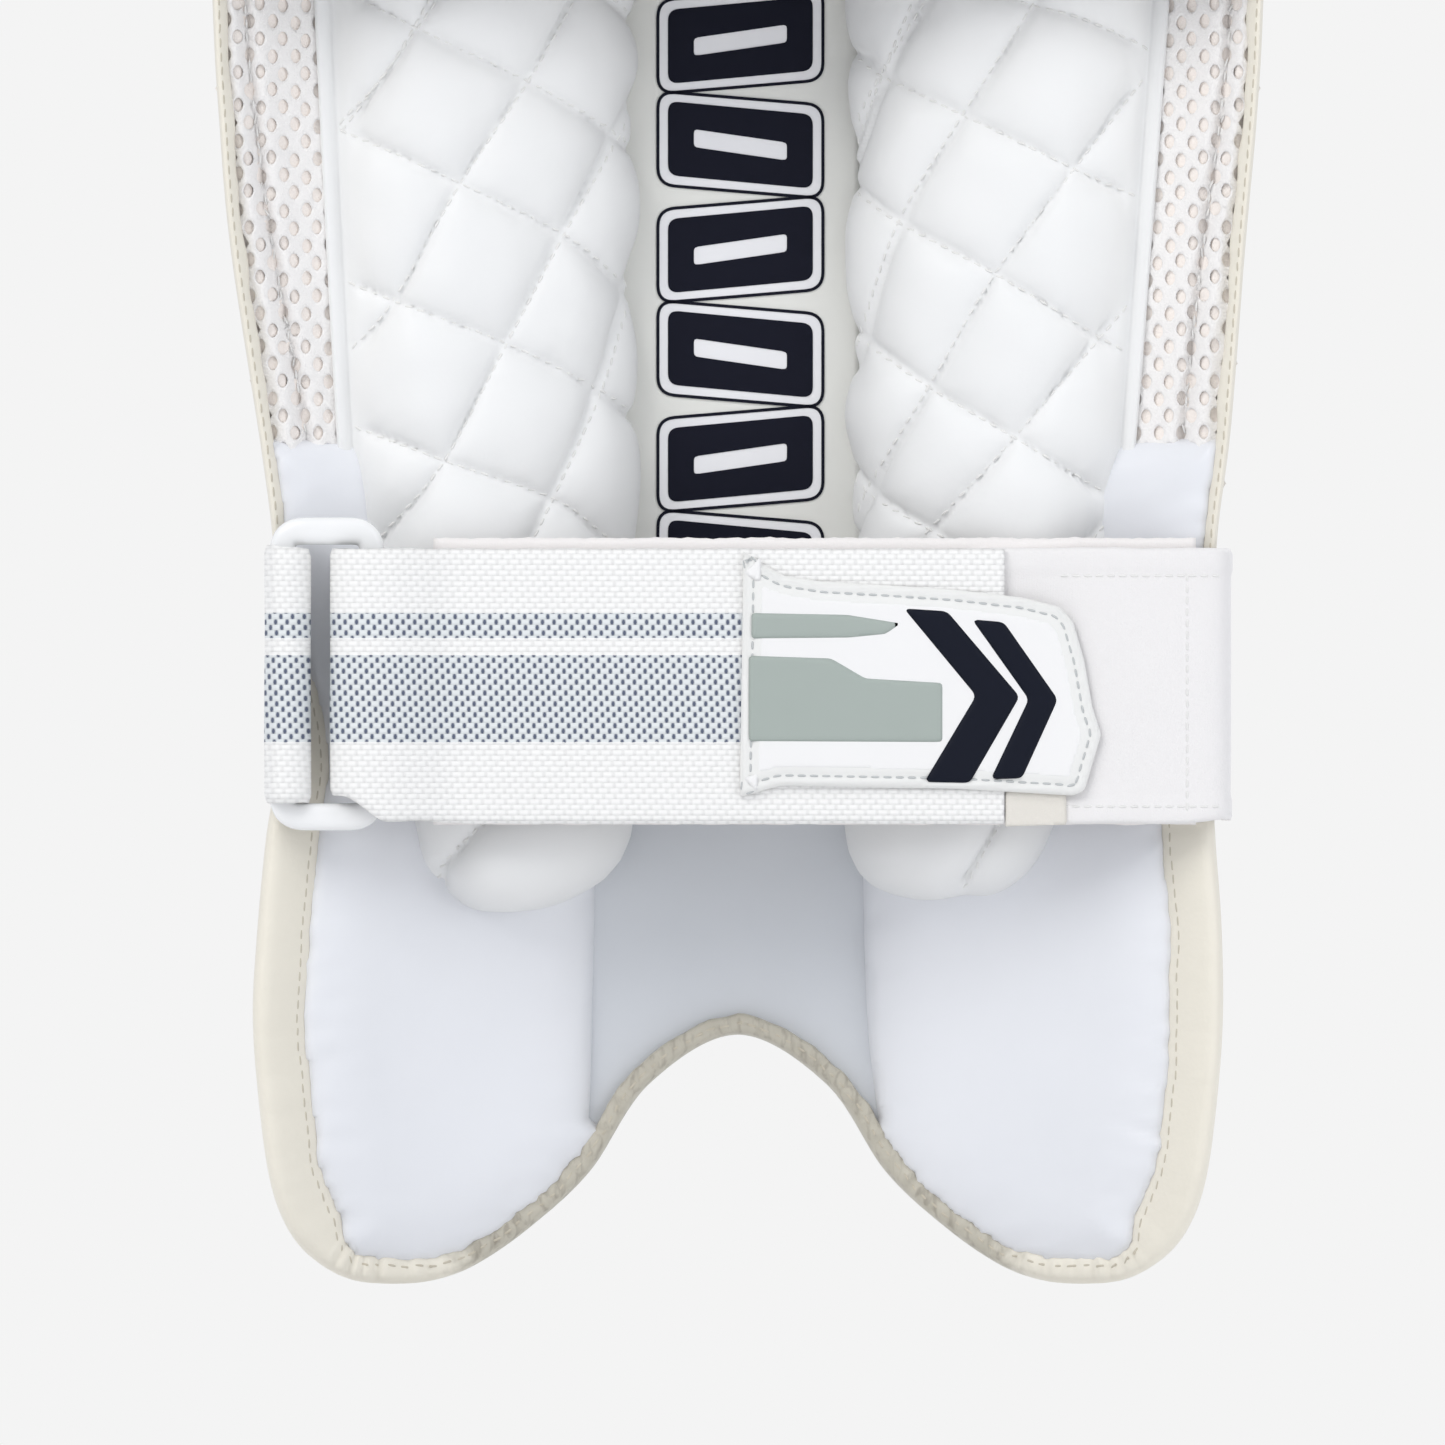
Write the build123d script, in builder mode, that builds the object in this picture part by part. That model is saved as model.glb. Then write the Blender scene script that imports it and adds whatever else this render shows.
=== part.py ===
"""Cricket batting leg pad: a curved shell with cane ribs, knee rolls, top hat, wings and three straps.

+Z runs up the leg, +Y out of the ball-facing front, and the leg lies on the -Y side. Millimetres.
Every layer of the shell is an arc in plan about one vertical axis, cut to the pad's front outline.
"""

import os
from math import asin, cos, degrees, radians, sin, sqrt

from build123d import *

os.makedirs("parts", exist_ok=True)

# Overall sizes
pad_height = 700.0
shell_top = 560.0
lining_radius = 165.0
foot_inner = 66.0
foot_outer = 86.0
heel_half_width = 107.2
waist_half_width = 105.6
hem_half_width = 112.4
calf_half_width = 115.8
upper_calf_half_width = 117.8
knee_half_width = 119.0
arch_height = 55.0
arch_flank_height = 24.6
arch_flank_half_width = 33.0
foot_corner_share = 0.62
heel_flare = 2.2

# Heights at which the outline takes those half widths
heel_height = 60.0
waist_low = 100.0
waist_high = 166.0
hem_height = 229.0
calf_height = 284.0
upper_calf_height = 350.0
knee_height = 440.0

# Layer thicknesses, from the leg side to the front
side_lining_thickness = 5.0
recess_lining_thickness = 3.0
foam_thickness = 12.0
rib_depth = 18.6
rib_width = 23.8
rib_corner = 9.0
rib_count = 7
rib_pitch = 8.4
cane_radius = 5.4
knee_roll_depth = 30.0
knee_roll_height = 40.0
knee_roll_corner = 14.0
knee_roll_span = 37.0
knee_core_radius = 9.0
core_margin = 5.0
layer_gap = 0.2
soft_gap = 0.3

# Edge binding
side_binding_width = 12.0
arch_binding_width = 4.5
binding_overlap = 2.0

# Bolsters on the leg side
bolster_depth = 27.0
bolster_hem = 3.0
bolster_inner_left = 22.7
bolster_inner_right = 24.6
bolster_tip_height = 86.0
bolster_cover = 2.5
bolster_tip_width = 47.0
bolster_waist_setback = 28.5
bolster_calf_setback = 20.5
bolster_knee_setback = 19.5
bolster_outer_setback = 19.0
bolster_corner_radii = (0.0, 21.0, 18.0, 60.0, 60.0, 0.0)
recess_left = 31.2
recess_right = 27.6
panel_low = 96.0
mesh_low = 183.0

# Knee cup on the leg side
cup_width = 150.0
cup_height = 94.0
cup_corner = 34.0
cup_hollow_width = 72.0
cup_hollow_height = 54.0
cup_hollow_corner = 24.0

# Top hat
hat_half_width = 104.0
hat_corner = 30.0
hat_thickness = 12.0
hat_roll_radius = 4.0
hat_roll_length = 60.0
hat_rib_rise = 14.0
hat_lower_corner = 6.0

# Wings
wing_angle = 14.0
wing_height = 98.0
wing_thickness = 13.0
wing_corner = 20.0

# Straps, rings and badges
strap_heights = {"ankle": 133.0, "calf": 325.0, "knee": 408.0}
strap_width = 61.2
loop_strap_thickness = 2.4
webbing_thickness = 2.0
strap_layer_gap = 0.3
edge_wrap = 28.0
ring_width = 25.3
ring_height = 69.0
ring_bar = 5.5
ring_end = 6.0
ring_thickness = 4.0
ring_corner = 6.0
ring_slot_corner = 1.5
strap_edge_ease = 0.4
ring_from_edge = 2.8
webbing_at_ring = 56.0
loop_clearance = 0.35
tail_reach = 58.7
tail_rise_share = 2.6
hook_patch_width = 13.2
hook_patch_height = 8.0
badge_left = 1.5
badge_right = 80.7
badge_height = 53.6
badge_low = 6.2
badge_thickness = 2.6
badge_corner = 9.0

# Worked out from the values above
foam_inner = lining_radius + layer_gap
foam_outer = foam_inner + foam_thickness
rib_centre = foam_outer + layer_gap + rib_depth / 2
roll_inner = foam_outer + layer_gap
roll_outer = roll_inner + knee_roll_depth
side_face = lining_radius - side_lining_thickness
bolster_back = side_face - soft_gap
binding_inner = side_face - binding_overlap
binding_outer = foam_outer
wing_inner = lining_radius - wing_thickness / 2
wing_outer = lining_radius + wing_thickness / 2
wing_root_x = knee_half_width + soft_gap + wing_thickness / 2
wing_root_angle = degrees(asin(wing_root_x / lining_radius))
wing_tip_angle = wing_root_angle + wing_angle
front_reach = roll_outer
back_reach = wing_inner * cos(radians(wing_tip_angle))
cup_centre = (knee_height + shell_top) / 2
bolster_top = cup_centre - cup_height / 2 - soft_gap
arc_y = -(front_reach + back_reach) / 2
cut_depth = 2 * roll_outer


def arc_point(radius, angle):
    """The plan point at an angle from +Y towards +X, on a circle about the shell's axis."""
    return (radius * sin(radians(angle)), arc_y + radius * cos(radians(angle)))


def arc_strip(inner, outer, angle_from, angle_to):
    """A stretch of ring in plan, drawn into the current sketch."""
    sweep = angle_to - angle_from
    with BuildLine() as edge:
        CenterArc((0, arc_y), outer, 90 - angle_to, sweep)
        CenterArc((0, arc_y), inner, 90 - angle_to, sweep)
        Line(arc_point(inner, angle_from), arc_point(outer, angle_from))
        Line(arc_point(inner, angle_to), arc_point(outer, angle_to))
    make_face(edge.line)


def shell_layer(inner, outer, low, high):
    """A layer of the curved shell in the current part, before it is cut to its outline."""
    with BuildSketch(Plane.XY.offset(low)) as profile:
        arc_strip(inner, outer, -wing_root_angle, wing_root_angle)
    extrude(profile.sketch, amount=high - low)


def front_window(left, right, low, high):
    """Keeps what lies between two sides and two heights, as seen from the front."""
    with BuildSketch(Plane.XZ) as window:
        with Locations(((left + right) / 2, (low + high) / 2)):
            Rectangle(right - left, high - low)
    extrude(window.sketch, amount=cut_depth, both=True, mode=Mode.INTERSECT)


def side_half_width(height):
    """Half the pad's width at a height, by straight lines between the outline's own points."""
    stations = [
        (heel_height, heel_half_width),
        (waist_low, waist_half_width),
        (waist_high, waist_half_width),
        (hem_height, hem_half_width),
        (calf_height, calf_half_width),
        (upper_calf_height, upper_calf_half_width),
        (knee_height, knee_half_width),
        (shell_top, knee_half_width),
    ]
    for (low, low_width), (high, high_width) in zip(stations, stations[1:]):
        if height <= high:
            share = (height - low) / (high - low)
            return low_width + share * (high_width - low_width)
    return knee_half_width


def pad_outline(side_margin, arch_margin):
    """The pad's front outline, drawn in by a margin at the sides and the arch."""
    foot = arch_margin
    foot_corner = foot_outer + foot_corner_share * (heel_half_width - foot_outer)
    side = [
        (foot_outer - side_margin / 2, foot),
        (foot_corner - side_margin, foot + heel_height / 7),
        (heel_half_width - heel_flare - side_margin, heel_height / 2),
        (heel_half_width - side_margin, heel_height),
        (waist_half_width - side_margin, waist_low),
        (waist_half_width - side_margin, waist_high),
        (hem_half_width - side_margin, hem_height),
        (calf_half_width - side_margin, calf_height),
        (upper_calf_half_width - side_margin, upper_calf_height),
        (knee_half_width - side_margin, knee_height),
    ]
    arch = [
        (foot_inner + arch_margin / 2, foot),
        (0.7 * foot_inner + 0.6 * arch_margin, 0.5 * arch_flank_height + 0.8 * arch_margin),
        (arch_flank_half_width + 0.8 * arch_margin, arch_flank_height + 0.6 * arch_margin),
        (0.6 * arch_flank_half_width + 0.6 * arch_margin, 0.8 * arch_height + 0.8 * arch_margin),
        (0, arch_height + arch_margin),
    ]
    top = shell_top - side_margin
    top_half_width = knee_half_width - side_margin
    with BuildLine() as edge:
        Spline(*arch, *[(-x, z) for x, z in reversed(arch[:-1])])
        Spline(*side)
        Spline(*[(-x, z) for x, z in side])
        for hand in (-1, 1):
            Line((hand * arch[0][0], foot), (hand * side[0][0], foot))
            Line((hand * top_half_width, knee_height), (hand * top_half_width, top))
        Line((-top_half_width, top), (top_half_width, top))
    make_face(edge.line)


with BuildSketch(Plane.XZ) as outline:
    pad_outline(0, 0)

with BuildSketch(Plane.XZ) as inside:
    pad_outline(side_binding_width, arch_binding_width)

with BuildSketch(Plane.XZ) as binding_face:
    pad_outline(0, 0)
    add(inside.sketch, mode=Mode.SUBTRACT)


def keep_inside():
    """Cuts the current part to the outline inside the binding."""
    extrude(inside.sketch, amount=cut_depth, both=True, mode=Mode.INTERSECT)


def write(part_builder, name):
    """Labels one finished piece and writes it under the same name."""
    part_builder.part.label = name
    export_step(part_builder.part, f"parts/{name}.step")


# Shin foam: the board that carries the linings and the ribs
with BuildPart() as shin_foam:
    shell_layer(foam_inner, foam_outer, 0, shell_top)
    keep_inside()
write(shin_foam, "shin_foam")

# Cane ribs on the front, each a padded sleeve with a cane rod inside
rib_top = knee_height - soft_gap
rod_low = arch_height + side_binding_width + rib_width
rod_solids = []
for number in range(rib_count):
    angle = (number - (rib_count - 1) / 2) * rib_pitch
    with BuildPart() as rib_cover:
        with BuildSketch(Plane.XY):
            with Locations(Location((*arc_point(rib_centre, angle), 0), (0, 0, -angle))):
                RectangleRounded(rib_width, rib_depth, rib_corner)
        extrude(amount=rib_top)
        keep_inside()
        with BuildSketch(Plane.XY.offset(rod_low)):
            with Locations(arc_point(rib_centre, angle)):
                Circle(cane_radius + layer_gap)
        extrude(amount=rib_top - rod_low, mode=Mode.SUBTRACT)
    write(rib_cover, f"rib_cover_{number + 1}")

with BuildPart() as cane_rods:
    with BuildSketch(Plane.XY.offset(rod_low + layer_gap)):
        for number in range(rib_count):
            with Locations(arc_point(rib_centre, (number - (rib_count - 1) / 2) * rib_pitch)):
                Circle(cane_radius)
    extrude(amount=rib_top - rod_low - 2 * layer_gap)
write(cane_rods, "cane_rods")

# Linings on the leg side
for hand, name in ((-1, "left"), (1, "right")):
    recess = recess_left if hand < 0 else recess_right
    near = recess + soft_gap
    window = sorted((hand * near, hand * 2 * knee_half_width))
    with BuildPart() as foot_lining:
        shell_layer(side_face, lining_radius, 0, mesh_low - soft_gap)
        keep_inside()
        front_window(*window, 0, mesh_low - soft_gap)
    write(foot_lining, f"foot_lining_{name}")
    with BuildPart() as mesh_lining:
        shell_layer(side_face, lining_radius, mesh_low, knee_height)
        keep_inside()
        front_window(*window, mesh_low, knee_height)
    write(mesh_lining, f"mesh_lining_{name}")

with BuildPart() as arch_lining:
    shell_layer(lining_radius - recess_lining_thickness, lining_radius, 0, panel_low - soft_gap)
    keep_inside()
    front_window(-recess_left, recess_right, 0, panel_low - soft_gap)
write(arch_lining, "arch_lining")

with BuildPart() as centre_panel:
    shell_layer(lining_radius - recess_lining_thickness, lining_radius, panel_low, knee_height)
    keep_inside()
    front_window(-recess_left, recess_right, panel_low, knee_height)
write(centre_panel, "centre_panel")

with BuildPart() as knee_lining:
    shell_layer(side_face, lining_radius, knee_height + soft_gap, shell_top)
    keep_inside()
write(knee_lining, "knee_lining")

# Edge binding, in four lengths
binding_low_top = shell_top - side_binding_width
binding_windows = {
    "binding_left": (-2 * knee_half_width, -foot_inner, 0, binding_low_top),
    "binding_right": (foot_inner, 2 * knee_half_width, 0, binding_low_top),
    "binding_arch": (-foot_inner, foot_inner, 0, arch_height + side_binding_width),
    "binding_top": (-2 * knee_half_width, 2 * knee_half_width, binding_low_top, shell_top),
}
for name, window in binding_windows.items():
    with BuildPart() as binding:
        shell_layer(binding_inner, binding_outer, 0, shell_top)
        extrude(binding_face.sketch, amount=cut_depth, both=True, mode=Mode.INTERSECT)
        front_window(*window)
    write(binding, name)


def bolster_profile(hand, inner, outer, back, depth, hem):
    """One bolster's crowned section in plan: a thin outer hem, a full crown and a rolled inner edge."""
    crown = (inner + outer) / 2

    def at(x, radius):
        return (hand * x, arc_y + sqrt(radius**2 - x**2))

    with BuildLine() as edge:
        Spline(
            at(outer, back - hem),
            at(outer - 0.22 * (outer - inner), back - 0.52 * depth),
            at(crown, back - depth),
            at(inner + 0.16 * (outer - inner), back - 0.88 * depth),
            at(inner, back - 0.45 * depth),
        )
        Line(at(inner, back - 0.45 * depth), at(inner, back))
        Line(at(outer, back - hem), at(outer, back))
        ThreePointArc(at(inner, back), at(crown, back), at(outer, back))
    make_face(edge.line)


def bolster_front(hand, inner, inset, low):
    """Keeps the bolster's front view: a leaning outer edge and a rounded free tip."""
    tip_outer = bolster_inner_right + bolster_tip_width
    with BuildSketch(Plane.XZ) as front:
        with BuildLine() as edge:
            FilletPolyline(
                (hand * inner, bolster_top),
                (hand * inner, low),
                (hand * (tip_outer - inset), low),
                (hand * (calf_half_width - bolster_waist_setback - inset), mesh_low),
                (hand * (calf_half_width - bolster_calf_setback - inset), calf_height),
                (hand * (calf_half_width - bolster_knee_setback - inset), bolster_top),
                radius=bolster_corner_radii,
                close=True,
            )
        make_face(edge.line)
    extrude(front.sketch, amount=cut_depth, both=True, mode=Mode.INTERSECT)


# Bolsters: quilted covers with their filling
for hand, name, inner in ((-1, "left", bolster_inner_left), (1, "right", bolster_inner_right)):
    outer = calf_half_width - bolster_outer_setback
    with BuildPart() as bolster_fill:
        with BuildSketch(Plane.XY.offset(bolster_tip_height)):
            bolster_profile(
                hand,
                inner + 2 * bolster_cover,
                outer - 4 * bolster_cover,
                bolster_back - bolster_cover,
                bolster_depth - 2 * bolster_cover,
                bolster_hem,
            )
        extrude(amount=bolster_top - bolster_tip_height)
        bolster_front(
            hand,
            inner + 2 * bolster_cover,
            3 * bolster_cover,
            bolster_tip_height + 2 * bolster_cover,
        )
    with BuildPart() as bolster:
        with BuildSketch(Plane.XY.offset(bolster_tip_height)):
            bolster_profile(hand, inner, outer, bolster_back, bolster_depth, bolster_hem)
        extrude(amount=bolster_top - bolster_tip_height)
        bolster_front(hand, inner, 0, bolster_tip_height)
        add(bolster_fill.part, mode=Mode.SUBTRACT)
    write(bolster, f"bolster_{name}")
    write(bolster_fill, f"bolster_fill_{name}")

# Knee rolls across the front, with a round core in each
roll_pitch = (shell_top - knee_height) / 3
roll_names = ("lower", "middle", "upper")
roll_start = Plane(
    origin=(0, arc_y, 0),
    x_dir=(sin(radians(knee_roll_span)), cos(radians(knee_roll_span)), 0),
    z_dir=(cos(radians(knee_roll_span)), -sin(radians(knee_roll_span)), 0),
)
shell_axis = Axis((0, arc_y, 0), (0, 0, 1))
core_start = Plane(
    origin=(0, arc_y, 0),
    x_dir=(sin(radians(knee_roll_span - core_margin)), cos(radians(knee_roll_span - core_margin)), 0),
    z_dir=(cos(radians(knee_roll_span - core_margin)), -sin(radians(knee_roll_span - core_margin)), 0),
)
roll_mid = (roll_inner + roll_outer) / 2
core_centres = [(roll_mid, knee_height + (row + 0.5) * roll_pitch) for row in range(3)]
for row, name in enumerate(roll_names):
    with BuildPart() as knee_roll:
        with BuildSketch(roll_start):
            with Locations(core_centres[row]):
                RectangleRounded(knee_roll_depth, knee_roll_height, knee_roll_corner)
                Circle(knee_core_radius + layer_gap, mode=Mode.SUBTRACT)
        revolve(axis=shell_axis, revolution_arc=2 * knee_roll_span)
    write(knee_roll, f"knee_roll_{name}")

with BuildPart() as knee_cores:
    with BuildSketch(core_start):
        with Locations(*core_centres):
            Circle(knee_core_radius)
    revolve(axis=shell_axis, revolution_arc=2 * (knee_roll_span - core_margin))
write(knee_cores, "knee_roll_cores")

# Knee cup: a padded ring round the hollow that the kneecap sits in
with BuildPart() as knee_cup:
    with BuildSketch(Plane.XY.offset(cup_centre - cup_height / 2)):
        arc_strip(bolster_back - bolster_depth, bolster_back, -wing_root_angle, wing_root_angle)
    extrude(amount=cup_height)
    with BuildSketch(Plane.XZ):
        with Locations((0, cup_centre)):
            RectangleRounded(cup_width, cup_height, cup_corner)
            RectangleRounded(cup_hollow_width, cup_hollow_height, cup_hollow_corner, mode=Mode.SUBTRACT)
    extrude(amount=cut_depth, both=True, mode=Mode.INTERSECT)
write(knee_cup, "knee_cup")

# Top hat: the thigh flap, hinged on a rolled seam along the top of the knee section
hat_axis_z = shell_top + soft_gap + hat_roll_radius
hat_inner = lining_radius - hat_thickness / 2
hat_outer = lining_radius + hat_thickness / 2
hat_low = hat_axis_z + hat_roll_radius + soft_gap
hat_lining_inner = hat_inner - layer_gap - recess_lining_thickness


def hat_front(margin, low):
    """Keeps the top hat's front view, with rounded upper corners."""
    with BuildSketch(Plane.XZ) as front:
        with BuildLine() as edge:
            FilletPolyline(
                (-hat_half_width + margin, low),
                (hat_half_width - margin, low),
                (hat_half_width - margin, pad_height - margin),
                (-hat_half_width + margin, pad_height - margin),
                radius=(hat_lower_corner, hat_lower_corner, hat_corner, hat_corner),
                close=True,
            )
        make_face(edge.line)
    extrude(front.sketch, amount=cut_depth, both=True, mode=Mode.INTERSECT)


with BuildPart() as top_hat_board:
    shell_layer(hat_inner, hat_outer, hat_low, pad_height)
    hat_front(0, hat_low)
write(top_hat_board, "top_hat_board")

with BuildPart() as top_hat_lining:
    shell_layer(hat_lining_inner, hat_inner - layer_gap, hat_low, pad_height)
    hat_front(side_binding_width / 2, hat_low + side_binding_width / 2)
write(top_hat_lining, "top_hat_lining")

with BuildPart() as top_hat_roll:
    with BuildSketch(Plane.YZ.offset(-hat_roll_length / 2)):
        with Locations((arc_y + lining_radius, hat_axis_z)):
            Circle(hat_roll_radius)
    extrude(amount=hat_roll_length)
write(top_hat_roll, "top_hat_hinge_roll")

hat_rib_centre = hat_outer + layer_gap + rib_depth / 2
with BuildPart() as top_hat_ribs:
    with BuildSketch(Plane.XY.offset(hat_low + hat_rib_rise)):
        for number in range(rib_count):
            angle = (number - (rib_count - 1) / 2) * rib_pitch
            with Locations(Location((*arc_point(hat_rib_centre, angle), 0), (0, 0, -angle))):
                RectangleRounded(rib_width, rib_depth, rib_corner)
    extrude(amount=pad_height - hat_low - hat_rib_rise)
    hat_front(side_binding_width / 2, hat_low)
write(top_hat_ribs, "top_hat_ribs")

# Wings: padded flaps beside the knee, each turning on a rolled seam
wing_low = cup_centre - wing_height / 2
for hand, name in ((-1, "left"), (1, "right")):
    root_point = arc_point(lining_radius, hand * wing_root_angle)
    angles = sorted((hand * wing_root_angle, hand * wing_tip_angle))
    with BuildPart() as wing:
        with BuildSketch(Plane.XY.offset(wing_low)):
            arc_strip(wing_inner, wing_outer, *angles)
            with Locations(root_point):
                Circle(wing_thickness / 2)
        extrude(amount=wing_height)
        tip_edges = wing.edges().filter_by(GeomType.LINE).sort_by(Axis.Z)
        far = [edge for edge in tip_edges if abs(edge.length - wing_thickness) < 0.01]
        fillet(far, radius=wing_corner)
    write(wing, f"wing_{name}")

# Straps: each has an anchor loop, a ring, a lined strap round the back, and a tail with its badge
for strap, height in strap_heights.items():
    low = height - strap_width / 2
    high = height + strap_width / 2
    edge = max(side_half_width(low), side_half_width(high)) + strap_edge_ease
    strap_face = arc_y + sqrt(binding_inner**2 - edge**2) - 2 * soft_gap
    loop_mid = strap_face - loop_strap_thickness / 2
    tail_mid = strap_face - loop_strap_thickness - strap_layer_gap - webbing_thickness / 2
    badge_mid = tail_mid - webbing_thickness / 2 - strap_layer_gap - badge_thickness / 2
    bar_y = (loop_mid + tail_mid) / 2
    ring_left = -edge + ring_from_edge
    anchor_bar_x = ring_left + ring_bar / 2
    ring_mid_x = ring_left + ring_width / 2
    tail_bar_x = ring_left + ring_width - ring_bar / 2
    bar_reach = sqrt((ring_bar / 2) ** 2 + (ring_thickness / 2) ** 2)
    loop_inner = bar_reach + loop_clearance
    loop_outer = loop_inner + webbing_thickness
    wrap_x = edge + soft_gap + loop_strap_thickness / 2
    anchor_x = -edge - soft_gap - webbing_thickness / 2
    ring_low = height - webbing_at_ring / 2 + (strap_width - webbing_at_ring) / 2

    with BuildPart() as ring:
        with BuildSketch(Plane.XZ.offset(-bar_y - ring_thickness / 2)):
            with Locations((ring_mid_x, ring_low + webbing_at_ring / 2)):
                RectangleRounded(ring_width, ring_height, ring_corner)
                RectangleRounded(
                    ring_width - 2 * ring_bar,
                    ring_height - 2 * ring_end,
                    ring_slot_corner,
                    mode=Mode.SUBTRACT,
                )
        extrude(amount=ring_thickness)
    write(ring, f"{strap}_ring")

    with BuildPart() as anchor_loop:
        with BuildSketch(Plane.XY.offset(ring_low)):
            with BuildLine():
                FilletPolyline(
                    (anchor_bar_x - loop_inner - webbing_thickness / 2, bar_y),
                    (anchor_x, bar_y + webbing_thickness),
                    (anchor_x, bar_y + edge_wrap),
                    radius=webbing_thickness / 2,
                )
            trace(line_width=webbing_thickness)
            with Locations((anchor_bar_x, bar_y)):
                Circle(loop_outer)
                Circle(loop_inner, mode=Mode.SUBTRACT)
        extrude(amount=webbing_at_ring)
    write(anchor_loop, f"{strap}_anchor_loop")

    with BuildPart() as loop_strap:
        with BuildSketch(Plane.XY.offset(low)):
            with BuildLine():
                FilletPolyline(
                    (tail_bar_x + loop_outer + 2 * soft_gap, loop_mid),
                    (wrap_x, loop_mid),
                    (wrap_x, loop_mid + edge_wrap),
                    radius=loop_strap_thickness,
                )
            trace(line_width=loop_strap_thickness)
        extrude(amount=strap_width)
    write(loop_strap, f"{strap}_loop_strap")

    tail_start = tail_bar_x + tail_rise_share * loop_outer
    patch_mid = tail_reach + soft_gap + hook_patch_width / 2
    band_start = tail_reach + hook_patch_width + 2 * soft_gap
    with BuildPart() as webbing:
        with BuildSketch(Plane.XY.offset(ring_low)):
            with BuildLine():
                FilletPolyline(
                    (tail_bar_x, bar_y - loop_inner - webbing_thickness / 2),
                    (tail_bar_x + loop_outer, bar_y - loop_inner - webbing_thickness / 2),
                    (tail_start, tail_mid),
                    (tail_start + loop_outer, tail_mid),
                    radius=loop_outer,
                )
            trace(line_width=webbing_thickness)
            with Locations((tail_bar_x, bar_y)):
                Circle(loop_outer)
                Circle(loop_inner, mode=Mode.SUBTRACT)
        extrude(amount=webbing_at_ring)
        with BuildSketch(Plane.XZ.offset(-tail_mid - webbing_thickness / 2)):
            with Locations(((tail_start + tail_reach) / 2, height)):
                Rectangle(tail_reach - tail_start, strap_width)
        extrude(amount=webbing_thickness)
    write(webbing, f"{strap}_webbing")

    with BuildPart() as hook_patch:
        with BuildSketch(Plane.XZ.offset(-tail_mid - webbing_thickness / 2)):
            with Locations((patch_mid, low + hook_patch_height / 2)):
                Rectangle(hook_patch_width - soft_gap, hook_patch_height)
        extrude(amount=webbing_thickness)
    write(hook_patch, f"{strap}_hook_patch")

    with BuildPart() as end_band:
        with BuildSketch(Plane.XZ.offset(-tail_mid - webbing_thickness / 2)):
            with Locations(((band_start + edge) / 2, height)):
                Rectangle(edge - band_start, strap_width)
        extrude(amount=webbing_thickness)
    write(end_band, f"{strap}_end_band")

    with BuildPart() as badge:
        with BuildSketch(Plane.XZ.offset(-badge_mid - badge_thickness / 2)):
            with Locations(((badge_left + badge_right) / 2, low + badge_low + badge_height / 2)):
                Rectangle(badge_right - badge_left, badge_height)
        extrude(amount=badge_thickness)
        far_corners = badge.edges().filter_by(Axis.Y).group_by(Axis.X)[-1]
        fillet(far_corners, radius=badge_corner)
    write(badge, f"{strap}_badge")
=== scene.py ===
"""Looks of a cricket leg pad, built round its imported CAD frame.

Soft covers, bindings, straps and stitches are mesh-built in the frame's own coordinates. Sizes are in
millimetres in this script and become metres in the meshes. The shell is an arc in plan about one vertical
axis, so most points are given as (x, z) seen from the leg side and a radius from that axis.
"""

import bmesh
import bpy
import numpy as np
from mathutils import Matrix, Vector
from mathutils.bvhtree import BVHTree


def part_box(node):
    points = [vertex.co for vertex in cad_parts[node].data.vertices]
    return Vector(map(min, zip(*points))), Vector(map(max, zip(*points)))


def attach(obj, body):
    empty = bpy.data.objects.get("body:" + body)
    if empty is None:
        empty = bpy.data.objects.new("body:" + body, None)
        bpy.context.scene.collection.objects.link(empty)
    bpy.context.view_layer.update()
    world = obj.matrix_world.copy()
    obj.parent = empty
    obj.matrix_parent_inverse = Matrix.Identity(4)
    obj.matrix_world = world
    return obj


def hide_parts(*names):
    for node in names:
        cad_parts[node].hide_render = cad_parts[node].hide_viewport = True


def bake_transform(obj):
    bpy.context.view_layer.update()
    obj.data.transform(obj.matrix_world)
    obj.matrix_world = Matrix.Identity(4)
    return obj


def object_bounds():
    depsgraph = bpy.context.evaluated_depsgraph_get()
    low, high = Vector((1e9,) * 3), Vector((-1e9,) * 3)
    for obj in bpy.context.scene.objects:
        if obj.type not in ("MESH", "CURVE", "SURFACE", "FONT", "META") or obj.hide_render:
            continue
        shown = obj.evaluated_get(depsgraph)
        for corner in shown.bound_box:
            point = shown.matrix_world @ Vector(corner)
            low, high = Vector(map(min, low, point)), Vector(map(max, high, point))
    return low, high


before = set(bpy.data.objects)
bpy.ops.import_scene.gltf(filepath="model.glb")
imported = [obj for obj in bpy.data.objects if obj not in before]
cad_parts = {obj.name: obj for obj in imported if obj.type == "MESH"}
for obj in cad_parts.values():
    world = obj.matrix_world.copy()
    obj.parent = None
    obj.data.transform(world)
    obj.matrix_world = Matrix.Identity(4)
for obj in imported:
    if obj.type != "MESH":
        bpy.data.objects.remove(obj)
cad_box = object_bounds()

MM = 0.001

# Radii of the shell's layers, from the leg side to the front
SIDE_FACE = 160.0
RECESS_FACE = 162.0
LINING_BACK = 165.0
FOAM_OUTER = 177.2
ROLL_INNER = 177.6

# Outline of the pad seen from the leg side
SHELL_TOP = 560.0
KNEE_LOW = 440.0
KNEE_HEIGHT = 500.0
SIDE_BINDING = 12.0
ARCH_BINDING = 4.6
MESH_BINDING = 3.2
TOP_BINDING = 9.0

# Bolsters
BOLSTER_BACK = 159.7
BOLSTER_DEPTH = 25.0
QUILT_HEIGHT = 3.5
BOLSTER_TOP = 452.0

STITCH_LENGTH = 1.9
STITCH_PITCH = 2.75
STITCH_RADIUS = 0.3


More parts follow.
